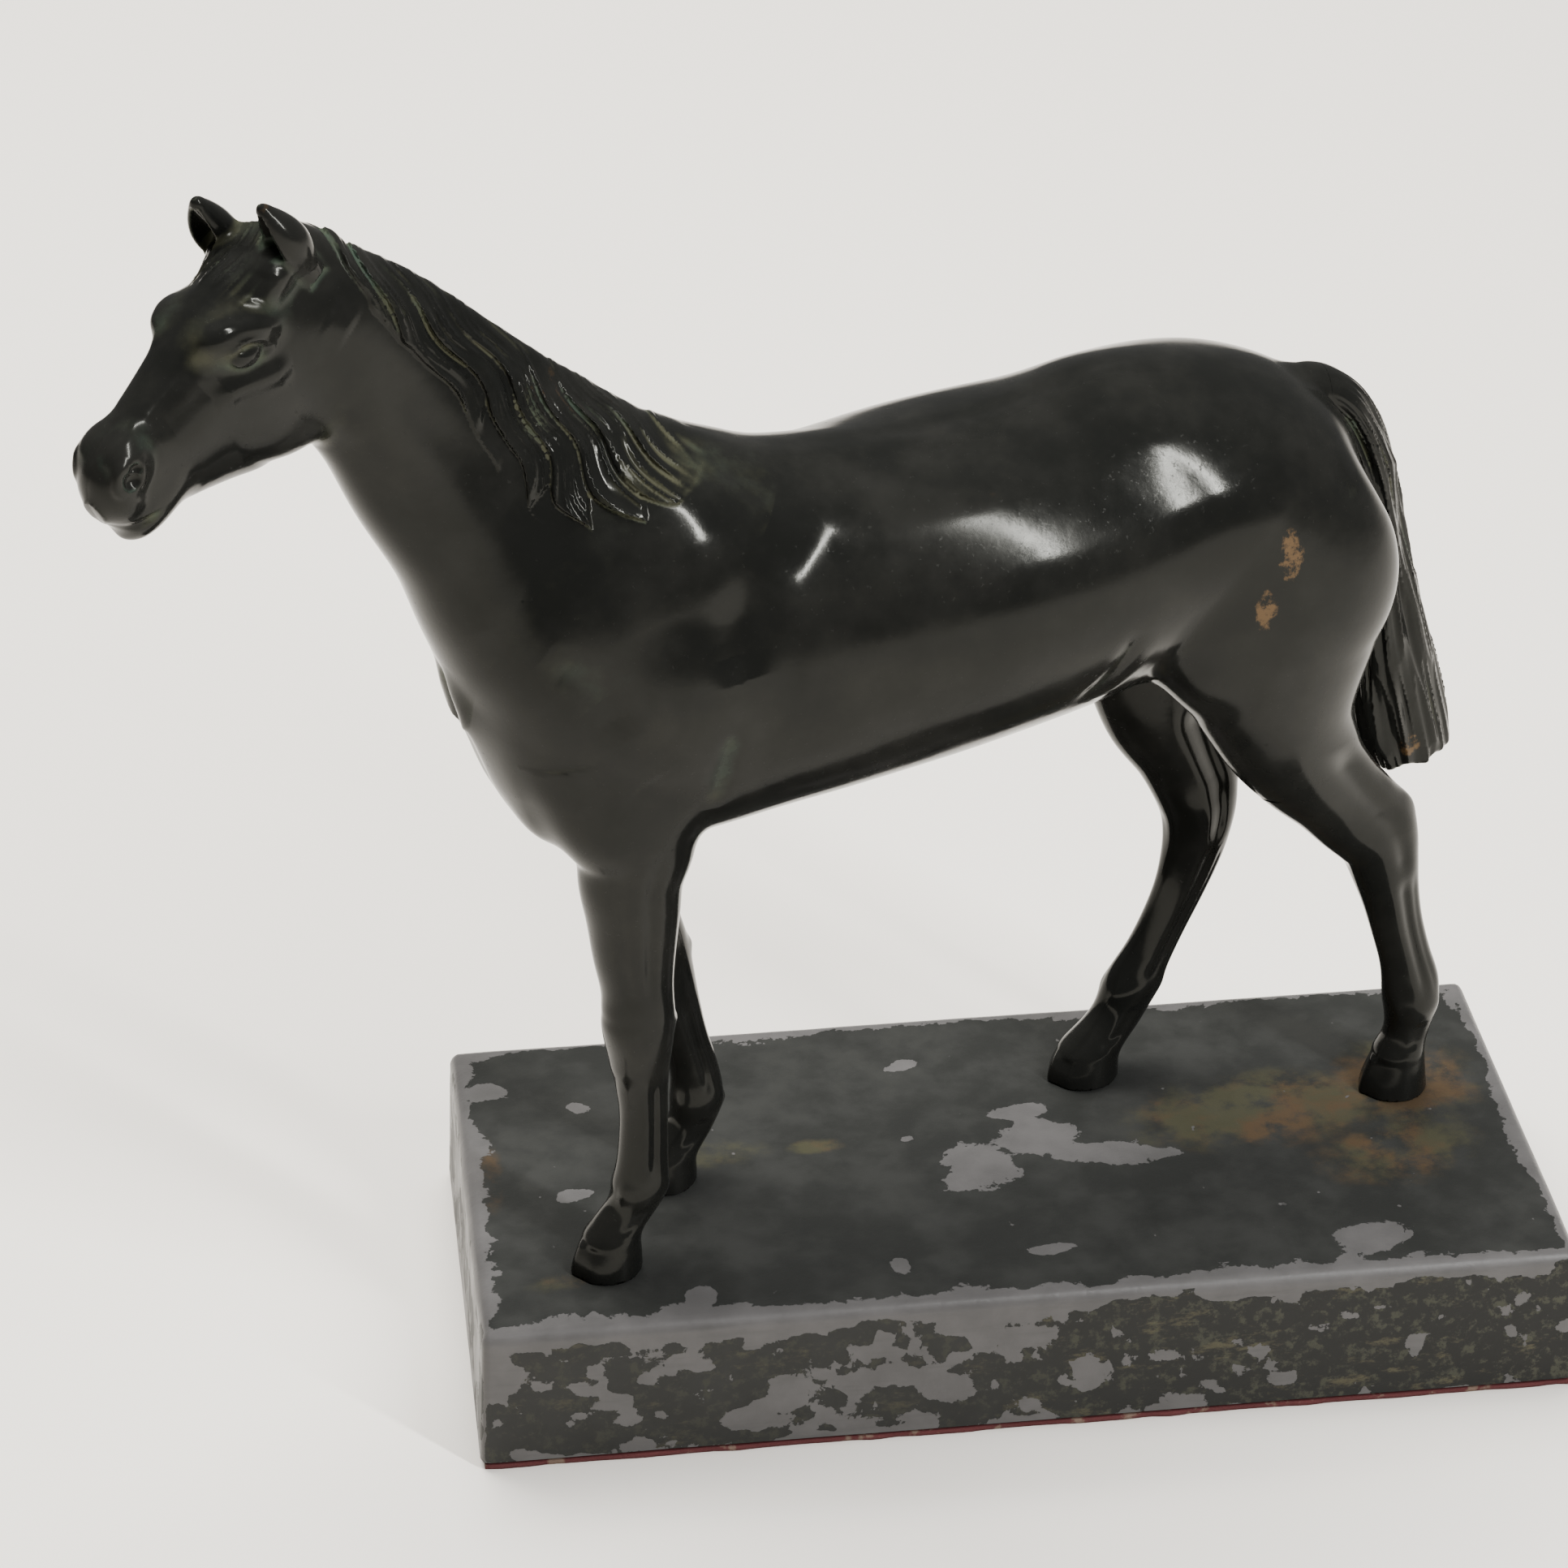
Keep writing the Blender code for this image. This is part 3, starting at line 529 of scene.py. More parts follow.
def trunk_details(p, q, f):
    """Grooves and ridges of the trunk, and the sheath; q is p with y folded to one side."""
    add_strokes(q, f, TRUNK_STROKES)
    stroke(p, f, [(-2.0, 0.0, 112.0), (9.0, 0.0, 113.0), (20.0, 0.0, 116.0)], 3.2, 1.6)
    sheath = ellipsoid(p, (12.0, 0.0, 114.5), (12.0, 5.4, 5.2), 14.0)
    f[:] = smooth_min(f, sheath, 3.0)
    stroke(p, f, [(1.8, 3.6, 112.4), (0.6, 0.0, 110.0), (1.8, -3.6, 112.4)], 1.0, -1.0)


def head_details(h, f):
    """Everything of the head but the skull, in head coordinates folded to one side."""
    g = np.stack([h[:, 0], np.abs(h[:, 1]), h[:, 2]], axis=1)
    for centre, radii, pitch, blend in HEAD_LUMPS:
        f = smooth_min(f, ellipsoid(g, centre, radii, pitch), blend)
    f = smooth_max(f, -ellipsoid(g, (20.3, 11.9, -7.4), (5.8, 1.6, 2.8), EYE_TILT), 2.0)
    f = smooth_min(f, ellipsoid(g, (20.3, 8.6, -7.3), (3.7, 2.6, 2.4), EYE_TILT), 0.5)
    add_strokes(g, f, HEAD_STROKES)
    hole = np.minimum(
        ellipsoid(g, (52.3, 7.3, -8.4), (1.9, 1.8, 1.9)),
        ellipsoid(g, (50.6, 7.2, -7.2), (1.5, 1.5, 1.2)),
    )
    return smooth_max(f, -hole, 0.7)


def ear_field(h):
    """The ears standing from the poll, each cupped towards the front."""
    left = h[:, 1] > 0.0
    u, n = h[:, 0] - np.where(left, -0.9, 2.6), h[:, 2]
    s = np.abs(h[:, 1]) - np.where(left, EAR_SIDE, EAR_SIDE + 1.8)
    t = np.clip((n + 6.0) / 17.4, 0.0, 1.0)
    taper = np.sqrt(np.clip(1.0 - t**3.2, 0.003, 1.0))
    width = 4.7 * taper * (0.82 + 0.32 * np.sin(np.pi * np.minimum(t * 1.15, 1.0)))
    lean = 0.6 + 1.4 * t - 2.0 * t**3
    drift = 0.3 + 0.8 * t
    turn = math.radians(-14.0)
    du, ds = u - drift, s - lean
    forward = du * math.cos(turn) + ds * math.sin(turn)
    across = -du * math.sin(turn) + ds * math.cos(turn)
    outer = section_field(forward, across, width * 0.82, width * 0.86)
    outer = np.maximum(outer, np.maximum(n - 11.4, -8.5 - n))
    inner = section_field(forward - 2.0 - 0.55 * width, across, width * 0.95, width * 0.55)
    inner = np.maximum(inner, -1.5 - n - 0.5 * forward)
    inner = np.maximum(inner, n - 9.4)
    return smooth_max(outer, -inner, 0.9)


def forelock(h, f):
    """Fine locks of hair from between the ears down the forehead."""
    u, s, n = h[:, 0], h[:, 1], h[:, 2]
    spread = 3.0 + 0.18 * u
    mask = window(u, -6.0, 13.5, 3.0) * bell(s + 0.08 * u, spread + 0.6) * fade(n, -6.0, -2.0)
    wave = s - 0.9 * np.sin(u * 0.28) * 0.8 - 0.05 * u
    strand = np.abs(noise(np.stack([wave, u * 0.1], axis=1), 1.1, 5))
    f -= mask * (0.9 - 1.2 * strand)


# Mane: drop is the distance below the crest and run the distance from the poll, both in the XZ plane
CREST_START = np.array([-139.0, 0.0, 247.5])
CREST_RUN = np.array([0.777, 0.0, -0.629])
CREST_DROP = np.array([-0.629, 0.0, -0.777])
# How far below the crest the mane reaches, along its run
EDGE_RUN = (-6.0, 2.0, 12.0, 24.0, 36.0, 48.0, 58.0, 66.0, 76.0, 86.0, 92.0)
EDGE_DROP = (2.0, 6.0, 8.5, 10.5, 12.0, 15.0, 20.0, 23.0, 19.0, 11.0, 3.0)


def mane_coordinates(p):
    d = p - CREST_START
    run = d @ CREST_RUN
    bow = 5.0 * np.sin(np.pi * np.clip(run / 92.0, 0.0, 1.0)) - 1.0
    return run, d @ CREST_DROP - bow


def mane(p, f):
    """Long locks on the left side, and a short fringe over the crest on the right."""
    local = np.flatnonzero(near(p, (-165.0, -40.0, 175.0), (-50.0, 30.0, 262.0)))
    if len(local):
        part = f[local]
        raise_mane(p[local], part)
        f[local] = part


def raise_mane(p, f):
    run, drop = mane_coordinates(p)
    near_side = 1.0 - fade(p[:, 1] + 0.02 * run, -1.0, 5.0)
    bend = drop - 0.015 * np.clip(drop, 0.0, 24.0) ** 2
    flow = bend - 0.34 * run - 1.5 * np.sin(run * 0.10 + 0.4) - 0.7 * np.sin(run * 0.23 + drop * 0.25)
    edge = np.interp(run, EDGE_RUN, EDGE_DROP)
    tooth = np.abs((flow / 4.6 + 0.5) % 1.0 - 0.5) * 2.0
    ragged = fade(run, 18.0, 50.0) * (1.0 - fade(run, 78.0, 92.0))
    edge = edge + ragged * (6.5 * tooth - 3.4) + 0.7 * noise(np.stack([run, drop], axis=1), 4.0, 8)
    inside = fade(edge - drop, -0.4, 1.1) * window(run, -5.0, 90.0, 3.0)
    over = fade(drop, -1.0, 5.0) * (1.0 - fade(run, 74.0, 90.0))
    ramp = (flow / 4.6) % 1.0
    shelf = ramp - fade(ramp, 0.86, 1.0)
    grain = np.stack([flow, run * 0.07], axis=1)
    fine = 1.1 * np.abs(noise(grain, 0.95, 3)) + 0.7 * np.abs(noise(grain, 2.3, 4))
    height = 0.25 + over * (0.55 + 1.15 * shelf) - (0.25 + 0.42 * over) * fine
    f -= inside * near_side * height
    fringe = (1.0 - near_side) * (1.0 - fade(drop, 2.5, 5.5)) * window(run, -4.0, 86.0, 4.0)
    f -= fringe * (0.45 - 0.45 * fine)


def leg_details(name, p, local, f):
    """Tendons, joints and hoof of one leg, by height."""
    a, s, half_along, half_across = local[:, 1], local[:, 2], local[:, 3], local[:, 4]
    z = p[:, 2]
    joint, rim, fetlock, coronet = LEG_HEIGHTS[name]
    hind = name.endswith("hind")
    share = a / half_along
    side = np.abs(s) / half_across
    flank = fade(side, 0.30, 0.75)
    cannon = window(z, fetlock + 5.0, rim - 1.0, 3.0)
    f += cannon * flank * 0.7 * bell(share + 0.22, 0.20)
    f += cannon * flank * 0.25 * bell(share + 0.62, 0.14)
    f -= cannon * flank * 0.2 * bell(share - 0.25, 0.3)
    f -= 0.55 * bell(z - joint, 5.0) * bell(side - 0.8, 0.5) * bell(share - 0.3, 0.6)
    front = fade(share, 0.0, 0.6)
    back = fade(-share, 0.2, 0.8)
    if hind:
        upper = window(z, joint + 4.0, joint + 26.0, 4.0)
        f += upper * flank * 1.3 * bell(share + 0.42, 0.24)
        f += window(z, joint - 9.0, joint + 4.0, 3.0) * flank * 0.8 * bell(share + 0.30, 0.22)
        f -= bell(z - joint - 6.0, 4.0) * back * 0.9 * bell(s, 2.2)
        f += bell(z - joint + 6.0, 6.0) * front * 0.35 * bell(s, 1.6)
    else:
        upper = window(z, joint + 13.0, joint + 45.0, 6.0)
        f += upper * flank * 0.6 * bell(share + 0.10, 0.16)
        f += upper * flank * 0.4 * bell(share - 0.48, 0.14)
        f -= bell(z - rim - 2.0, 2.2) * front * 0.10
        f += bell(z - rim + 2.2, 2.4) * front * 0.05
        f += bell(z - joint - 4.5, 1.6) * front * 0.15
        f -= bell(z - joint - 1.0, 2.2) * back * 0.8 * bell(s, 2.0)
    f -= bell(z - fetlock, 2.8) * flank * 0.45
    f -= bell(z - fetlock + 2.0, 2.0) * back * 0.9 * bell(s, 1.8)
    f += window(z, coronet + 2.5, fetlock - 4.0, 1.2) * flank * 0.45 * bell(share + 0.05, 0.3)
    f -= bell(z - coronet, 1.5) * 0.14 * fade(share, -0.9, -0.3)
    hoof = 1.0 - fade(z, coronet - 2.0, coronet - 0.4)
    f -= hoof * front * 0.5 * bell(s, 1.3)
    f += hoof * front * 0.25 * bell(np.abs(s) - 3.2, 1.6)
    f += hoof * back * 0.9 * bell(s, 1.4)
    f += (1.0 - fade(z, 0.0, coronet + 1.0)) * back * 0.5
    return np.maximum(f, 0.03 - z)


def leg_field(name, p):
    sweep = LEG_SWEEPS[name]
    f = np.full(len(p), FAR)
    local = np.flatnonzero(near(p, sweep.low, sweep.high))
    if len(local):
        q = p[local]
        columns = sweep.local(q)
        f[local] = leg_details(name, q, columns, columns[:, 0])
    return f


def tail_core(p):
    """The tail without its hair."""
    f = np.full(len(p), FAR)
    local = np.flatnonzero(near(p, TAIL_SWEEP.low, TAIL_SWEEP.high))
    if len(local):
        f[local] = TAIL_SWEEP.local(p[local])[:, 0]
    return f


def tail_field(p):
    f = np.full(len(p), FAR)
    local = np.flatnonzero(near(p, TAIL_SWEEP.low, TAIL_SWEEP.high))
    if len(local):
        q = p[local]
        columns = TAIL_SWEEP.local(q)
        g, a, s, along, across, run = columns.T
        angle = np.arctan2(s / across, a / along)
        hair = fade(run, 8.0, 26.0)
        twist = angle * 6.4 + 0.020 * run
        ring = np.stack([twist, run / 24.0], axis=1)
        coarse = np.abs(noise(ring, (2.6, 1.0), 21))
        fine = np.abs(noise(ring, (0.9, 0.8), 22))
        g = g - hair * (0.55 - 1.5 * coarse - 0.75 * fine)
        around = np.stack([twist, np.zeros(len(twist))], axis=1)
        jag = 1.2 * noise(around, 1.6, 23) + 0.10 * (q[:, 0] - 99.0)
        g = smooth_max(g, 78.4 + jag - q[:, 2], 1.4)
        f[local] = g
    return f


def head_field(p, f):
    """Adds head and ears to f, for the points near them."""
    h = to_head(p)
    local = np.flatnonzero(near(h, (-16.0, -24.0, -48.0), (68.0, 24.0, 18.0)))
    if not len(local):
        return f
    h = h[local]
    skull = HEAD_LOFT.field(h[:, 0], h[:, 1], h[:, 2])
    skull = head_details(h, skull)
    forelock(h, skull)
    joined = smooth_min(f[local], skull, 3.5)
    f[local] = smooth_min(joined, ear_field(h), 1.3)
    return f


def add_dock(p, f):
    """The root of the tail, which ends inside the tail piece."""
    core = tail_core(p)
    x = p[:, 0]
    dock = core + 1.5 * fade(x, TAIL_JOINT_X, TAIL_JOINT_X + 2.0)
    dock = np.maximum(dock, x - TAIL_JOINT_X - 2.0)
    blend = 0.1 + 3.0 * (1.0 - fade(x, TAIL_JOINT_X - 7.0, TAIL_JOINT_X))
    return smooth_min(f, dock, blend)


def body_field(p):
    """Trunk, neck, head and the tops of the limbs."""
    q = np.stack([p[:, 0], np.abs(p[:, 1]), p[:, 2]], axis=1)
    f = np.full(len(p), FAR)
    local = np.flatnonzero(near(p, (-134.0, -48.0, 84.0), (96.0, 48.0, 206.0)))
    if len(local):
        f[local] = TRUNK_LOFT.field(*p[local].T)
    add_muscles(q, f, TRUNK_MUSCLES)
    local = np.flatnonzero(near(p, NECK_SWEEP.low, NECK_SWEEP.high))
    if len(local):
        f[local] = smooth_min(f[local], NECK_SWEEP.local(p[local])[:, 0], 9.0)
    for name, (rows, hind) in LEGS.items():
        f = smooth_min(f, leg_field(name, p), 6.0 if hind else 3.5)
    f = add_dock(p, f)
    trunk_details(p, q, f)
    add_strokes(q, f, NECK_STROKES)
    f = head_field(p, f)
    mane(p, f)
    return f


# Meshing


def grid_values(field, low, high, step):
    """The field on a grid, worked out only close to the surface."""
    low = np.array(low, float)
    coarse = 4
    count = np.ceil((np.array(high) - low) / (step * coarse)).astype(int)
    spread = [low[i] + step * coarse * (np.arange(count[i]) + 0.5) for i in range(3)]
    middle = np.stack(np.meshgrid(*spread, indexing="ij"), axis=-1).reshape(-1, 3)
    rough = field(middle).reshape(count)
    close = np.abs(rough) < step * coarse * 1.6 + 0.8
    values = np.repeat(np.repeat(np.repeat(rough, coarse, 0), coarse, 1), coarse, 2)
    cells = np.argwhere(close)
    offsets = np.stack(np.meshgrid(*[np.arange(coarse)] * 3, indexing="ij"), axis=-1).reshape(-1, 3)
    index = (cells[:, None, :] * coarse + offsets[None]).reshape(-1, 3)
    found = np.empty(len(index))
    for start in range(0, len(index), LARGEST_BATCH):
        part = slice(start, start + LARGEST_BATCH)
        found[part] = field(low + step * index[part])
    values[index[:, 0], index[:, 1], index[:, 2]] = found
    return values, low


CORNERS = np.array([(i & 1, (i >> 1) & 1, (i >> 2) & 1) for i in range(8)])
CUBE_EDGES = [(a, b) for a in range(8) for b in range(a + 1, 8) if bin(a ^ b).count("1") == 1]


def surface_net(values, low, step):
    """(points, quads) of the zero surface."""
    inside = values < 0.0
    last = np.array(inside.shape) - 1
    total = sum(inside[tuple(slice(a, b + a) for a, b in zip(c, last))].astype(np.int8) for c in CORNERS)
    active = (total > 0) & (total < 8)
    cells = np.argwhere(active)
    number = np.full(active.shape, -1, np.int64)
    number[active] = np.arange(len(cells))
    samples = [values[tuple((cells + c).T)] for c in CORNERS]
    place = np.zeros((len(cells), 3))
    crossings = np.zeros(len(cells))
    for a, b in CUBE_EDGES:
        va, vb = samples[a], samples[b]
        crossed = (va < 0.0) != (vb < 0.0)
        t = np.where(crossed, va / np.where(crossed, va - vb, 1.0), 0.0)
        place += crossed[:, None] * (CORNERS[a] + t[:, None] * (CORNERS[b] - CORNERS[a]))
        crossings += crossed
    points = low + step * (cells + place / crossings[:, None])
    quads = []
    for axis in range(3):
        one, two = (axis + 1) % 3, (axis + 2) % 3
        ahead = np.take(inside, range(1, inside.shape[axis]), axis=axis)
        here = np.take(inside, range(0, inside.shape[axis] - 1), axis=axis)
        nodes = np.argwhere(ahead != here)
        nodes = nodes[(nodes[:, one] > 0) & (nodes[:, two] > 0)]
        nodes = nodes[(nodes[:, one] < active.shape[one]) & (nodes[:, two] < active.shape[two])]
        step_one = np.zeros(3, int)
        step_one[one] = 1
        step_two = np.zeros(3, int)
        step_two[two] = 1
        ring = [nodes - step_one - step_two, nodes - step_two, nodes, nodes - step_one]
        face = np.stack([number[tuple(c.T)] for c in ring], axis=1)
        leaving = here[tuple(nodes.T)]
        face[~leaving] = face[~leaving][:, ::-1]
        quads.append(face)
    quads = np.concatenate(quads)
    used, quads_of_used = np.unique(quads, return_inverse=True)
    return points[used], quads_of_used.reshape(quads.shape)


TETRAHEDRON = np.array([(1.0, -1.0, -1.0), (-1.0, -1.0, 1.0), (-1.0, 1.0, -1.0), (1.0, 1.0, 1.0)])


def value_and_slope(field, points, reach=0.08):
    """The field and its gradient, from four places round each point."""
    samples = [field(points + corner * reach) for corner in TETRAHEDRON]
    slope = sum(value[:, None] * corner for value, corner in zip(samples, TETRAHEDRON)) / (4.0 * reach)
    return sum(samples) / 4.0, slope


def outward(field, points):
    """The field's unit normals."""
    slope = value_and_slope(field, points)[1]
    return slope / np.maximum(np.linalg.norm(slope, axis=1, keepdims=True), 1e-6)


def settle(field, points, limit):
    """Moves points onto the field's surface."""
    value, slope = value_and_slope(field, points)
    length2 = np.maximum((slope**2).sum(axis=1), 0.05)
    move = slope * (value / length2)[:, None]
    size = np.linalg.norm(move, axis=1)
    move *= np.minimum(1.0, limit / np.maximum(size, 1e-9))[:, None]
    return points - move


def relax(points, quads, amount=0.5):
    """One pass of moving each point towards the middle of its neighbours."""
    total = np.zeros_like(points)
    count = np.zeros(len(points))
    for i in range(4):
        a, b = quads[:, i], quads[:, (i + 1) % 4]
        for start, end in ((a, b), (b, a)):
            for axis in range(3):
                total[:, axis] += np.bincount(start, points[end, axis], len(points))
            count += np.bincount(start, minlength=len(points))
    return points + amount * (total / count[:, None] - points)


def sculpt(field, low, high, step):
    values, low = grid_values(field, low, high, step)
    points, quads = surface_net(values, low, step)
    points = relax(points, quads)
    points = settle(field, points, step)
    points = relax(points, quads, 0.3)
    points = settle(field, points, step * 0.5)
    return points, quads


def to_world(vectors, shift_y=0.0, raised=0.0):
    """Horse coordinates in the world's: directions as they are, places with the horse's shift and height."""
    c, s = math.cos(HORSE_TURN), math.sin(HORSE_TURN)
    x, y = vectors[:, 0], vectors[:, 1] + shift_y
    return np.stack([x * c - y * s, x * s + y * c, vectors[:, 2] + raised], axis=1)


def mesh_from(name, points, quads):
    mesh = bpy.data.meshes.new(name)
    mesh.vertices.add(len(points))
    mesh.vertices.foreach_set("co", points.ravel())
    mesh.loops.add(len(quads) * 4)
    mesh.loops.foreach_set("vertex_index", quads.ravel().astype(np.int32))
    mesh.polygons.add(len(quads))
    mesh.polygons.foreach_set("loop_start", np.arange(0, len(quads) * 4, 4, dtype=np.int32))
    mesh.update(calc_edges=True)
    mesh.validate()
    return mesh


def bisect(body, geometry, point, normal):
    bmesh.ops.bisect_plane(
        body, geom=geometry, plane_co=point, plane_no=normal, clear_outer=True, dist=1e-5
    )


def cut_mesh(mesh, point, normal):
    """Keeps what lies behind the plane."""
    body = bmesh.new()
    body.from_mesh(mesh)
    bisect(body, body.verts[:] + body.edges[:] + body.faces[:], point, normal)
    body.to_mesh(mesh)
    body.free()


def mesh_points(mesh):
    points = np.empty(len(mesh.vertices) * 3)
    mesh.vertices.foreach_get("co", points)
    return points.reshape(-1, 3)


def set_attribute(mesh, name, values):
    attribute = mesh.attributes.new(name, "FLOAT", "POINT")
    attribute.data.foreach_set("value", values.astype(np.float32))


def hollow(field, points, normals, reach):
    """How far each place lies in a recess, from 0 to 1."""
    ahead = field(points + normals * reach)
    return np.clip(1.0 - ahead / reach, -1.0, 1.0)


def finish_piece(name, mesh, field, material, nodes, on_horse=True):
    """Smooth shading with the field's own normals, attributes, material, placement in the world's frame, and
    the CAD nodes it stands for hidden.
    """
    points = mesh_points(mesh)
    normals = outward(field, points)
    set_attribute(mesh, "recess", hollow(field, points, normals, 0.8))
    set_attribute(mesh, "hollow", hollow(field, points, normals, 3.0))
    for axis in range(3):
        set_attribute(mesh, "horse_" + "xyz"[axis], points[:, axis])
    world = to_world(points, HORSE_SHIFT_Y, BASE_TOP) if on_horse else points
    mesh.vertices.foreach_set("co", (world * MM).ravel())
    mesh.update()
    mesh.shade_smooth()
    turned = to_world(normals) if on_horse else normals
    mesh.normals_split_custom_set_from_vertices(turned.tolist())
    mesh.materials.append(material)
    obj = bpy.data.objects.new(name, mesh)
    bpy.context.scene.collection.objects.link(obj)
    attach(obj, "root")
    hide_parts(*nodes)
    return obj


def joint_plane(rows, hind):
    """Where a leg casting meets the body: a place on the limb, and the way down it."""
    if hind:
        here = Vector(rows[HIND_JOINT_STATION][:3])
        below = Vector(rows[HIND_JOINT_STATION + 1][:3])
        above = Vector(rows[HIND_JOINT_STATION - 1][:3])
        return here, (below - above).normalized()
    for above, below in zip(rows, rows[1:]):
        if above[2] >= FORE_JOINT_HEIGHT > below[2]:
            share = (above[2] - FORE_JOINT_HEIGHT) / (above[2] - below[2])
            return Vector(above[:3]).lerp(Vector(below[:3]), share), Vector((0.0, 0.0, -1.0))


# Slab and felt


def slab_field(p):
    x, y, z = p.T
    share = (z - SLAB_BOTTOM) / (BASE_TOP - SLAB_BOTTOM)
    wave = 0.10 * noise(p, 26.0, 31) + 0.05 * noise(p, 9.0, 32)
    plan_x = np.abs(x) - (BASE_HALF[0] - BASE_DRAFT * share - BASE_CORNER_RADIUS)
    plan_y = np.abs(y) - (BASE_HALF[1] - BASE_DRAFT * share - BASE_CORNER_RADIUS)
    plan = np.hypot(np.maximum(plan_x, 0.0), np.maximum(plan_y, 0.0))
    plan = plan + np.minimum(np.maximum(plan_x, plan_y), 0.0) - BASE_CORNER_RADIUS + 0.12
    a = plan + BASE_EDGE_RADIUS
    b = z - BASE_TOP + 0.12 + BASE_EDGE_RADIUS
    d = np.hypot(np.maximum(a, 0.0), np.maximum(b, 0.0)) + np.minimum(np.maximum(a, b), 0.0)
    return np.maximum(d - BASE_EDGE_RADIUS + wave, SLAB_BOTTOM - z)


def patch(x, y, centre, radii, turn=0.0):
    """1 in the middle of an oval, falling through 0 at its rim."""
    c, s = math.cos(turn), math.sin(turn)
    dx, dy = x - centre[0], y - centre[1]
    r = np.hypot((dx * c + dy * s) / radii[0], (-dx * s + dy * c) / radii[1])
    return 1.0 - r


# Bare patches on the top: centre, radii, turn. Stains have a strength after these.
TOP_PATCHES = (
    ((-4.7, -6), (8, 8.5), 0.3),
    ((-10, -11.5), (4.5, 4), 0),
    ((9, 3), (10, 6), 0.2),
    ((6.9, 13.7), (7, 3), 0.1),
    ((24, -4.5), (12, 4.6), -0.1),
    ((35, -6.5), (5.5, 1.6), 0),
    ((-16.6, 34.9), (3.6, 2), 0.2),
    ((-91.4, 27.6), (3, 1.8), -0.6),
    ((-95, -5.5), (4.2, 2.4), 0.2),
    ((-19.3, 6.5), (1.7, 1.1), 0.1),
    ((-112, 36.2), (6, 3.6), 0),
    ((75, -43), (9, 5), 0.2),
    ((-71.5, -46.4), (4, 4.2), 0.3),
    ((4.9, -38.4), (5.5, 1.9), 0.1),
    ((-27.4, -40.6), (2, 3.2), 0.3),
    ((-18.9, -54), (9, 3), 0),
)
STAINS = (
    ((62, 8), (42, 20), 0.1, 1),
    ((95, 14), (24, 24), 0, 0.9),
    ((88, -12), (26, 16), 0.2, 0.9),
    ((-62, 6), (18, 9), 0, 0.5),
    ((-40, 6), (9, 4), 0, 0.8),
    ((-97, -36), (16, 6), 0.2, 0.5),
    ((-113, 4), (5, 22), 0, 0.5),
)

# How bare the front is along X
FRONT_WEAR = ((-120.0, -60.0, -28.0, -5.0, 25.0, 60.0, 120.0), (0.0, -0.05, 0.4, 0.2, -0.25, -0.5, -0.4))


def slab_attributes(mesh, points, normals):
    """Where the coat is chipped, stained and mottled, and how much painted shade darkens the front and back,
    for the slab's material.
    """
    x, y, z = points.T
    top = fade(normals[:, 2], 0.75, 0.95)
    front = fade(-normals[:, 1], 0.6, 0.9)
    back = fade(normals[:, 1], 0.6, 0.9)
    ends = fade(np.abs(normals[:, 0]), 0.6, 0.9)
    edge = np.minimum(BASE_HALF[0] - BASE_DRAFT - np.abs(x), BASE_HALF[1] - BASE_DRAFT - np.abs(y))
    flat = points[:, :2]
    wander = noise(flat, 16.0, 41) + 0.6 * noise(flat, 7.0, 42)
    on_top = np.clip(0.9 - edge / (4.6 + 2.2 * wander), -1.0, 1.0)
    for centre, radii, turn in TOP_PATCHES:
        on_top = np.maximum(on_top, 1.3 * patch(x, y, centre, radii, turn))
    tall = np.stack([x * 0.9, z * 1.25], axis=1)
    blotch = noise(tall, 9.5, 43) + 0.8 * noise(tall, 5.0, 44) + 0.5 * noise(tall, 2.6, 45)
    lean = np.interp(x, *FRONT_WEAR)
    on_front = blotch * 0.9 + lean - 0.20 + 1.2 * fade(z, 29.5, 32.8) + 0.4 * (1.0 - fade(z, 2.2, 4.2))
    on_back = blotch * 0.75 + 0.9 * fade(z, 28.0, 32.0)
    wide = np.stack([y * 0.9, z * 1.25], axis=1)
    on_ends = 0.3 + 0.8 * noise(wide, 12.0, 46) + 0.5 * noise(wide, 4.0, 47)
    bare = np.full(len(points), 0.9)
    for mask, value in ((ends, on_ends), (back, on_back), (front, on_front), (top, on_top)):
        bare = bare * (1.0 - mask) + value * mask
    stain = np.zeros(len(points))
    for centre, radii, turn, strength in STAINS:
        stain = np.maximum(stain, strength * np.clip(patch(x, y, centre, radii, turn) * 1.6, 0.0, 1.0))
    # Front and back faces: real olive and yellow mottling, plus painted shade that darkens their coat,
    # growing towards +X on the front.
    mottle_and_shade = front * np.interp(x, (-120.0, -20.0, 10.0, 120.0), (0.45, 0.4, 0.75, 1.0)) + back * 0.6
    set_attribute(mesh, "bare", bare)
    set_attribute(mesh, "stain", stain * top)
    set_attribute(mesh, "mottle_and_shade", mottle_and_shade)


def make_slab(material):
    step = 1.15
    low = (-BASE_HALF[0] - 3.0, -BASE_HALF[1] - 3.0, -1.0)
    high = (BASE_HALF[0] + 3.0, BASE_HALF[1] + 3.0, BASE_TOP + 3.0)
    points, quads = sculpt(slab_field, low, high, step)
    mesh = mesh_from("slab", points, quads)
    slab_attributes(mesh, points, outward(slab_field, points))
    return finish_piece("slab", mesh, slab_field, material, ["base_slab"], on_horse=False)


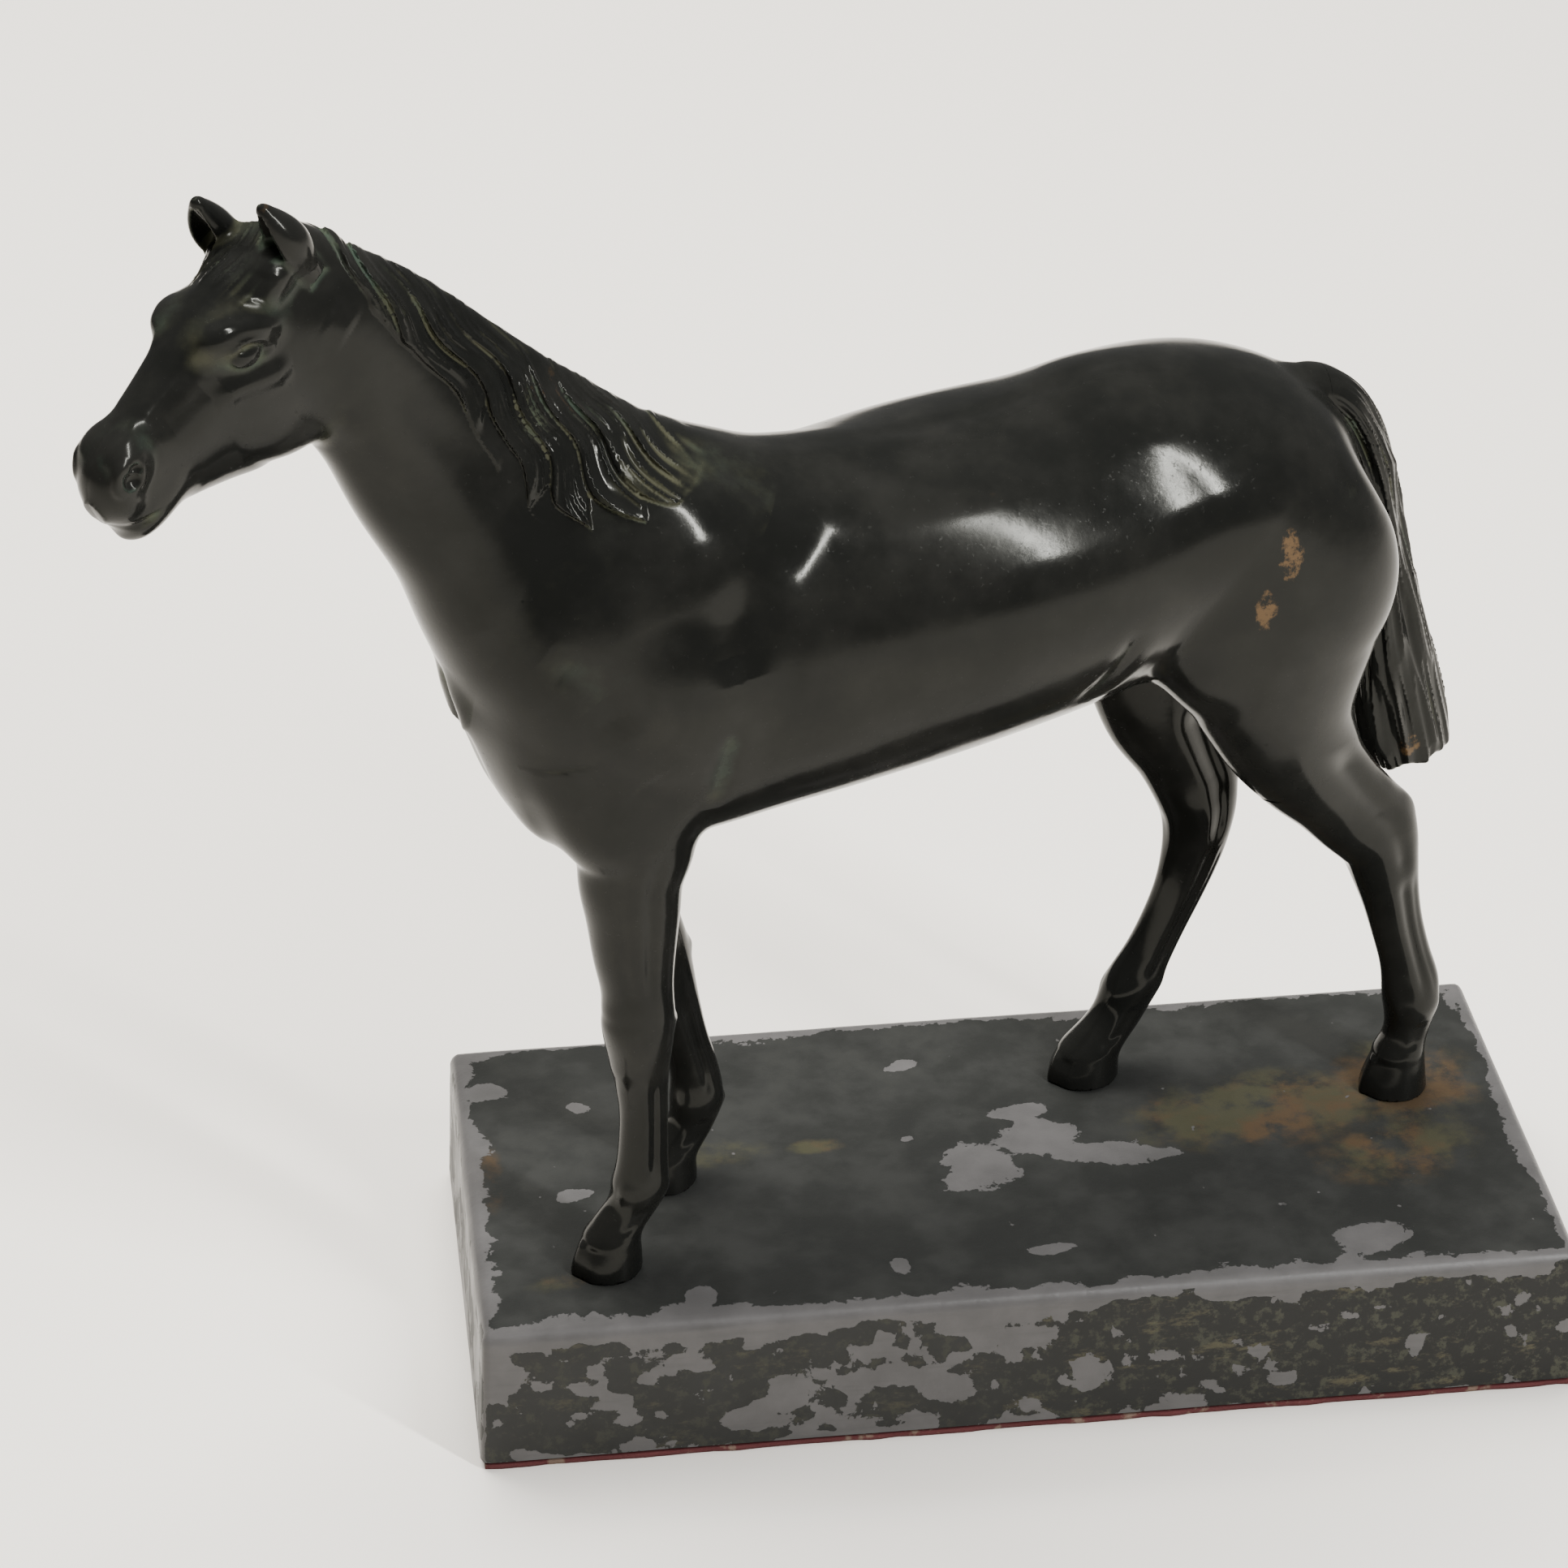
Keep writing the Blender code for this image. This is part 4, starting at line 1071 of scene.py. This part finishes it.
def make_felt(material):
    """A thin sheet with a slightly uneven cut edge."""
    half_x, half_y = BASE_HALF[0] - 0.4, BASE_HALF[1] - 0.4
    count_x, count_y = 120, 56
    xs = np.linspace(-half_x, half_x, count_x + 1)
    ys = np.linspace(-half_y, half_y, count_y + 1)
    grid = np.stack(np.meshgrid(xs, ys, indexing="ij"), axis=-1).reshape(-1, 2)
    inset = 0.35 + 0.3 * noise(grid, 5.0, 51)
    rim_x = np.abs(grid[:, 0]) > half_x - 0.01
    rim_y = np.abs(grid[:, 1]) > half_y - 0.01
    grid[:, 0] -= np.sign(grid[:, 0]) * inset * rim_x
    grid[:, 1] -= np.sign(grid[:, 1]) * inset * rim_y
    low = np.column_stack([grid, np.full(len(grid), 0.02)])
    high = np.column_stack([grid, np.full(len(grid), FELT_THICKNESS)])
    points = np.concatenate([low, high])
    number = np.arange(len(grid)).reshape(count_x + 1, count_y + 1)
    cell = np.stack([number[:-1, :-1], number[1:, :-1], number[1:, 1:], number[:-1, 1:]], axis=-1)
    cell = cell.reshape(-1, 4)
    rim = np.concatenate([number[:, 0], number[-1, 1:], number[-2::-1, -1], number[0, -2:0:-1]])
    ahead = np.roll(rim, -1)
    shift = len(grid)
    sides = np.stack([rim, ahead, ahead + shift, rim + shift], axis=1)
    quads = np.concatenate([cell[:, ::-1], cell + shift, sides])
    mesh = mesh_from("felt_sheet", points * MM, quads)
    mesh.materials.append(material)
    obj = bpy.data.objects.new("felt_sheet", mesh)
    bpy.context.scene.collection.objects.link(obj)
    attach(obj, "root")
    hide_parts("felt_pad")


# Materials


# The colour sockets of a Mix node, which share their names with its number and vector sockets
MIX_COLOURS = (6, 7)
MIX_RESULT = 2


class Shader:
    """A material's node tree, built with short calls."""

    def __init__(self, name):
        self.material = bpy.data.materials.new(name)
        self.material.use_nodes = True
        self.tree = self.material.node_tree
        self.surface = self.tree.nodes["Principled BSDF"]
        self.place = self.tree.nodes.new("ShaderNodeTexCoord").outputs["Object"]

    def put(self, socket, value):
        if isinstance(value, bpy.types.NodeSocket):
            self.tree.links.new(value, socket)
        elif isinstance(value, (tuple, list)) and len(value) == 3 and socket.type == "RGBA":
            socket.default_value = (*value, 1.0)
        else:
            socket.default_value = value

    def attribute(self, name):
        node = self.tree.nodes.new("ShaderNodeAttribute")
        node.attribute_name = name
        return node.outputs["Fac"]

    def noise(self, scale, detail=4.0, roughness=0.5, stretch=None, distortion=0.0):
        """Noise from about 0 to 1, in cells of 1 / scale metres."""
        node = self.tree.nodes.new("ShaderNodeTexNoise")
        node.inputs["Scale"].default_value = scale
        node.inputs["Detail"].default_value = detail
        node.inputs["Roughness"].default_value = roughness
        node.inputs["Distortion"].default_value = distortion
        where = self.place
        if stretch:
            mapping = self.tree.nodes.new("ShaderNodeMapping")
            mapping.inputs["Scale"].default_value = stretch
            self.put(mapping.inputs["Vector"], where)
            where = mapping.outputs["Vector"]
        self.put(node.inputs["Vector"], where)
        return node.outputs["Fac"]

    def math(self, operation, a, b=0.0):
        node = self.tree.nodes.new("ShaderNodeMath")
        node.operation = operation
        self.put(node.inputs[0], a)
        self.put(node.inputs[1], b)
        return node.outputs[0]

    def span(self, value, low, high, to_low=0.0, to_high=1.0, smooth=True):
        node = self.tree.nodes.new("ShaderNodeMapRange")
        node.interpolation_type = "SMOOTHSTEP" if smooth else "LINEAR"
        self.put(node.inputs["Value"], value)
        node.inputs["From Min"].default_value = low
        node.inputs["From Max"].default_value = high
        node.inputs["To Min"].default_value = to_low
        node.inputs["To Max"].default_value = to_high
        return node.outputs["Result"]

    def mix(self, share, a, b):
        node = self.tree.nodes.new("ShaderNodeMix")
        node.data_type = "RGBA"
        self.put(node.inputs["Factor"], share)
        self.put(node.inputs[MIX_COLOURS[0]], a)
        self.put(node.inputs[MIX_COLOURS[1]], b)
        return node.outputs[MIX_RESULT]

    def bump(self, height, strength, distance, normal=None):
        node = self.tree.nodes.new("ShaderNodeBump")
        node.inputs["Strength"].default_value = strength
        node.inputs["Distance"].default_value = distance
        self.put(node.inputs["Height"], height)
        if normal:
            self.put(node.inputs["Normal"], normal)
        return node.outputs["Normal"]

    def set(self, **values):
        for name, value in values.items():
            self.put(self.surface.inputs[name.replace("_", " ")], value)
        return self.material


def bronze_material(name, hair=False):
    sh = Shader(name)
    recess = sh.attribute("recess")
    grime = sh.noise(260.0, 6.0, 0.6)
    broad = sh.noise(45.0, 5.0, 0.6)
    speck = sh.noise(900.0, 3.0, 0.6)
    deep = sh.math("ADD", recess, sh.math("MULTIPLY", grime, 0.30))
    deep = sh.span(deep, 0.20 if hair else 0.28, 0.66)
    green = sh.span(broad, 0.40, 0.66)
    black = sh.mix(sh.span(broad, 0.35, 0.75), (0.0065, 0.0068, 0.0062), (0.0125, 0.0125, 0.0112))
    olive = sh.mix(green, (0.046, 0.046, 0.028), (0.030, 0.047, 0.036))
    worn = sh.span(sh.math("SUBTRACT", grime, sh.math("MULTIPLY", recess, 0.5)), 0.66, 0.80)
    worn = sh.math("MULTIPLY", worn, sh.span(sh.noise(22.0, 3.0, 0.5), 0.60, 0.72))
    colour = sh.mix(sh.math("MULTIPLY", worn, 0.5), black, (0.055, 0.032, 0.014))
    patches = worn_patches(sh)
    colour = sh.mix(sh.math("MULTIPLY", patches, 0.8), colour, (0.105, 0.062, 0.028))
    colour = sh.mix(sh.math("MULTIPLY", deep, 0.85), colour, olive)
    rough = sh.span(broad, 0.3, 0.75, 0.10, 0.20)
    rough = sh.math("ADD", rough, sh.math("MULTIPLY", deep, 0.35))
    rough = sh.math("ADD", rough, sh.span(speck, 0.62, 0.72, 0.0, 0.18))
    height = sh.math("ADD", sh.math("MULTIPLY", grime, 0.4), sh.math("MULTIPLY", broad, 1.0))
    bump = sh.bump(height, 0.10, 0.0006)
    sh.set(IOR=1.5, Specular_IOR_Level=0.13, Specular_Tint=(1.0, 1.0, 0.92))
    return sh.set(Base_Color=colour, Roughness=rough, Normal=bump)


# Brown worn spots: x, z, radii
WORN_SPOTS = ((50.3, 152.8, 3.2, 6.5), (45.0, 141.5, 2.8, 5.0), (96.0, 84.0, 3.0, 3.0))


def worn_patches(sh):
    """Brown worn spots on the left thigh and the tail's tip, in horse coordinates."""
    x, y, z = sh.attribute("horse_x"), sh.attribute("horse_y"), sh.attribute("horse_z")
    total = None
    for cx, cz, rx, rz in WORN_SPOTS:
        dx = sh.math("DIVIDE", sh.math("SUBTRACT", x, cx), rx)
        dz = sh.math("DIVIDE", sh.math("SUBTRACT", z, cz), rz)
        r = sh.math("ADD", sh.math("MULTIPLY", dx, dx), sh.math("MULTIPLY", dz, dz))
        spot = sh.span(r, 0.0, 2.6, 1.0, 0.0)
        spot = sh.math("MULTIPLY", spot, sh.span(y, -1.5, 1.0, 1.0, 0.0))
        total = spot if total is None else sh.math("MAXIMUM", total, spot)
    broken = sh.noise(420.0, 5.0, 0.7)
    return sh.span(sh.math("MULTIPLY", total, broken), 0.40, 0.56)


def slab_material():
    sh = Shader("worn_black_coating")
    bare = sh.attribute("bare")
    rim = sh.noise(190.0, 7.0, 0.62, distortion=0.4)
    fine = sh.noise(900.0, 4.0, 0.6)
    value = sh.math("ADD", bare, sh.span(rim, 0.2, 0.8, -0.62, 0.62, smooth=False))
    value = sh.math("ADD", value, sh.span(fine, 0.25, 0.75, -0.10, 0.10, smooth=False))
    specks = sh.span(sh.noise(230.0, 2.0, 0.5), 0.735, 0.76)
    mask = sh.math("MAXIMUM", sh.span(value, -0.02, 0.03), specks)
    cloud = sh.noise(70.0, 5.0, 0.6)
    streak = sh.noise(60.0, 5.0, 0.6, stretch=(1.0, 1.0, 9.0))
    metal = sh.mix(sh.span(cloud, 0.3, 0.7), (0.066, 0.064, 0.0635), (0.086, 0.083, 0.0825))
    metal = sh.mix(sh.span(streak, 0.5, 0.75, 0.0, 0.35), metal, (0.048, 0.048, 0.046))
    coat = sh.mix(sh.span(cloud, 0.35, 0.70), (0.0175, 0.0182, 0.017), (0.0265, 0.0272, 0.0255))
    mottle_and_shade = sh.attribute("mottle_and_shade")
    blots = sh.span(sh.noise(330.0, 8.0, 0.72), 0.51, 0.62)
    # Painted shade: this attribute pulls the front and back coat towards near-black. The blots and yellow
    # below are real mottling.
    coat = sh.mix(sh.math("MULTIPLY", mottle_and_shade, 0.75), coat, (0.0060, 0.0062, 0.0056))
    coat = sh.mix(sh.math("MULTIPLY", blots, mottle_and_shade), coat, (0.036, 0.037, 0.026))
    yellow = sh.span(sh.noise(120.0, 8.0, 0.75, stretch=(0.6, 1.0, 1.6)), 0.56, 0.66)
    coat = sh.mix(sh.math("MULTIPLY", sh.math("MULTIPLY", yellow, mottle_and_shade), 0.6), coat, (0.085, 0.076, 0.042))
    stain = sh.attribute("stain")
    broken = sh.span(sh.noise(85.0, 8.0, 0.68), 0.30, 0.70, smooth=False)
    cover = sh.span(sh.math("MULTIPLY", stain, broken), 0.12, 0.55)
    rust = sh.mix(sh.span(sh.noise(50.0, 4.0, 0.6), 0.42, 0.60), (0.052, 0.050, 0.027), (0.078, 0.048, 0.023))
    coat = sh.mix(sh.math("MULTIPLY", cover, 0.62), coat, rust)
    colour = sh.mix(mask, coat, metal)
    rough = sh.span(cloud, 0.3, 0.7, 0.40, 0.56)
    rough = sh.math("SUBTRACT", rough, sh.math("MULTIPLY", mask, 0.10))
    rough = sh.math("ADD", rough, sh.math("MULTIPLY", mottle_and_shade, 0.10))
    height = sh.math("SUBTRACT", sh.math("MULTIPLY", fine, 0.25), mask)
    bump = sh.bump(height, 0.55, 0.00016)
    bump = sh.bump(rim, 0.25, 0.0006, bump)
    return sh.set(Base_Color=colour, Roughness=rough, IOR=1.5, Specular_IOR_Level=0.22, Normal=bump)


def felt_material():
    sh = Shader("dark_red_felt")
    fibre = sh.noise(2600.0, 5.0, 0.7)
    glue = sh.span(sh.noise(160.0, 5.0, 0.6), 0.55, 0.64)
    colour = sh.mix(fibre, (0.050, 0.008, 0.010), (0.130, 0.030, 0.030))
    colour = sh.mix(sh.math("MULTIPLY", glue, 0.45), colour, (0.28, 0.24, 0.17))
    bump = sh.bump(fibre, 0.6, 0.0004)
    return sh.set(Base_Color=colour, Roughness=0.95, Normal=bump)


def metal_material(name, colour, rough):
    sh = Shader(name)
    scratch = sh.noise(700.0, 5.0, 0.6, stretch=(1.0, 1.0, 0.2))
    tone = sh.mix(sh.span(scratch, 0.3, 0.7), tuple(0.7 * c for c in colour), colour)
    roughness = sh.span(scratch, 0.3, 0.7, rough - 0.08, rough + 0.08)
    return sh.set(Base_Color=tone, Roughness=roughness, Metallic=1.0)


def floor_material():
    sh = Shader("pale_paper")
    colour = sh.mix(sh.noise(3.0, 2.0, 0.5), (0.83, 0.795, 0.735), (0.845, 0.81, 0.755))
    return sh.set(Base_Color=colour, Roughness=0.9)


# Horse pieces


def cut_off_legs(mesh):
    """Ends the body's mesh at the planes where the leg castings begin."""
    body = bmesh.new()
    body.from_mesh(mesh)
    for name, (rows, hind) in LEGS.items():
        point, down = joint_plane(rows, hind)
        side = -1.0 if name.startswith("left") else 1.0
        faces = []
        for face in body.faces:
            c = face.calc_center_median()
            at_end = c.x > 10.0 if hind else c.x < -40.0
            if c.z < 112.0 and c.y * side > 0.0 and at_end:
                faces.append(face)
        verts = {v for face in faces for v in face.verts}
        edges = {e for face in faces for e in face.edges}
        bisect(body, list(verts) + list(edges) + faces, point, down)
    body.to_mesh(mesh)
    body.free()


def horse_mesh(name, box, step, plane, body_only=False, field=body_field):
    mesh = mesh_from(name, *sculpt(field, *box, step))
    if body_only:
        cut_off_legs(mesh)
    cut_mesh(mesh, *plane)
    return mesh


# The body is meshed in two parts, finer towards the head, which meet at this plane
NECK_CUT = (Vector((-48.0, 0.0, 186.0)), Vector((-0.602, 0.0, 0.799)))
TAIL_CUT = (Vector((TAIL_JOINT_X, 0.0, 169.5)), Vector((-1.0, 0.0, 0.0)))
TRUNK_BOX = ((-124.0, -42.0, 86.0), (90.0, 42.0, 196.0))
NECK_BOX = ((-218.0, -50.0, 120.0), (-40.0, 40.0, 264.0))
TAIL_BOX = ((68.0, -14.0, 70.0), (114.0, 14.0, 182.0))


def make_horse():
    step = MESH_STEP
    bronze = bronze_material("black_bronze")
    hair = bronze_material("black_bronze_hair", hair=True)
    neck_point, neck_normal = NECK_CUT
    trunk = horse_mesh("trunk", TRUNK_BOX, 0.9 * step, NECK_CUT, True)
    finish_piece("trunk", trunk, body_field, bronze, ["body_casting"])
    neck = horse_mesh("head_and_neck", NECK_BOX, 0.55 * step, (neck_point, -neck_normal), True)
    finish_piece("head_and_neck", neck, body_field, hair, ["body_casting"])
    for name, (rows, hind) in LEGS.items():
        sweep = LEG_SWEEPS[name]
        point, down = joint_plane(rows, hind)
        low = sweep.low + FAR - 3.0
        high = sweep.high - FAR + 3.0
        low[1:] = point.y - LEG_HALF_REACH, -2.0
        high[1:] = point.y + LEG_HALF_REACH, point.z + 16.0
        leg = horse_mesh(f"{name}_limb", (low, high), 0.5 * step, (point, -down))
        finish_piece(f"{name}_limb", leg, body_field, bronze, [f"{name}_leg"])
    tail = horse_mesh("tail", TAIL_BOX, 0.5 * step, TAIL_CUT, field=tail_field)
    finish_piece("tail", tail, tail_field, hair, ["tail_casting"])


def dress_small_parts():
    """Materials for the CAD nodes that stay: pins, screws and washers."""
    pin = metal_material("pin_bronze", (0.24, 0.16, 0.08), 0.38)
    steel = metal_material("screw_steel", (0.42, 0.42, 0.43), 0.34)
    chosen = {"pin": pin, "screw": steel, "washer": steel}
    for name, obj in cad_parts.items():
        material = chosen.get(name.split("_")[-1])
        if material:
            for material_slot in obj.material_slots:
                material_slot.link = "OBJECT"
                material_slot.material = material


# Stage


IMAGE_WIDTH = 1932.0
FOCAL_LENGTH = 6000.0  # in the image's own units
SENSOR_WIDTH = 36.0
CAMERA_PLACE = (-47.6, 110.7, 1100.3)  # mm right, up and back from the origin
CAMERA_ANGLES = (-6.79, 31.04, -0.24)  # azimuth, elevation, roll


def add_camera():
    azimuth, elevation, roll = (math.radians(v) for v in CAMERA_ANGLES)
    level = math.cos(elevation)
    back = Vector((math.sin(azimuth) * level, -math.cos(azimuth) * level, math.sin(elevation)))
    right = (-back).cross(Vector((0.0, 0.0, 1.0))).normalized()
    up = right.cross(-back)
    c, s = math.cos(roll), math.sin(roll)
    right, up = c * right + s * up, -s * right + c * up
    camera = bpy.data.cameras.new("camera")
    camera.sensor_width = SENSOR_WIDTH
    camera.lens = SENSOR_WIDTH * FOCAL_LENGTH / IMAGE_WIDTH
    obj = bpy.data.objects.new("camera", camera)
    place = (right * CAMERA_PLACE[0] + up * CAMERA_PLACE[1] + back * CAMERA_PLACE[2]) * MM
    turn = Matrix((right, up, back)).transposed().to_4x4()
    obj.matrix_world = Matrix.Translation(place) @ turn
    bpy.context.scene.collection.objects.link(obj)
    bpy.context.scene.camera = obj


def add_area(name, place, aim, size, power, colour=(1.0, 1.0, 1.0)):
    light = bpy.data.lights.new(name, "AREA")
    light.shape = "RECTANGLE"
    light.size, light.size_y = size
    light.energy = power
    light.color = colour
    obj = bpy.data.objects.new(name, light)
    obj.location = place
    obj.rotation_euler = (Vector(aim) - Vector(place)).to_track_quat("-Z", "Y").to_euler()
    bpy.context.scene.collection.objects.link(obj)
    return obj


def add_stage():
    bpy.ops.mesh.primitive_plane_add(size=8.0, location=(0.0, 0.0, 0.0))
    floor = bpy.context.object
    floor.name = "floor"
    floor.data.materials.append(floor_material())
    world = bpy.data.worlds.new("studio")
    world.use_nodes = True
    background = world.node_tree.nodes["Background"]
    background.inputs["Color"].default_value = (1.0, 0.99, 0.97, 1.0)
    background.inputs["Strength"].default_value = 0.22
    bpy.context.scene.world = world
    overhead = add_area("overhead", (-0.3, 0.7, 1.9), (0.0, 0.0, 0.1), (1.6, 1.6), 128.0, (1.0, 0.98, 0.94))
    overhead.visible_glossy = False  # only the narrow strip shines on the bronze
    add_area("strip", (0.62, -0.76, 1.02), (0.0, 0.0, 0.16), (0.055, 1.0), 27.0)


make_horse()
make_slab(slab_material())
make_felt(felt_material())
dress_small_parts()
add_camera()
add_stage()
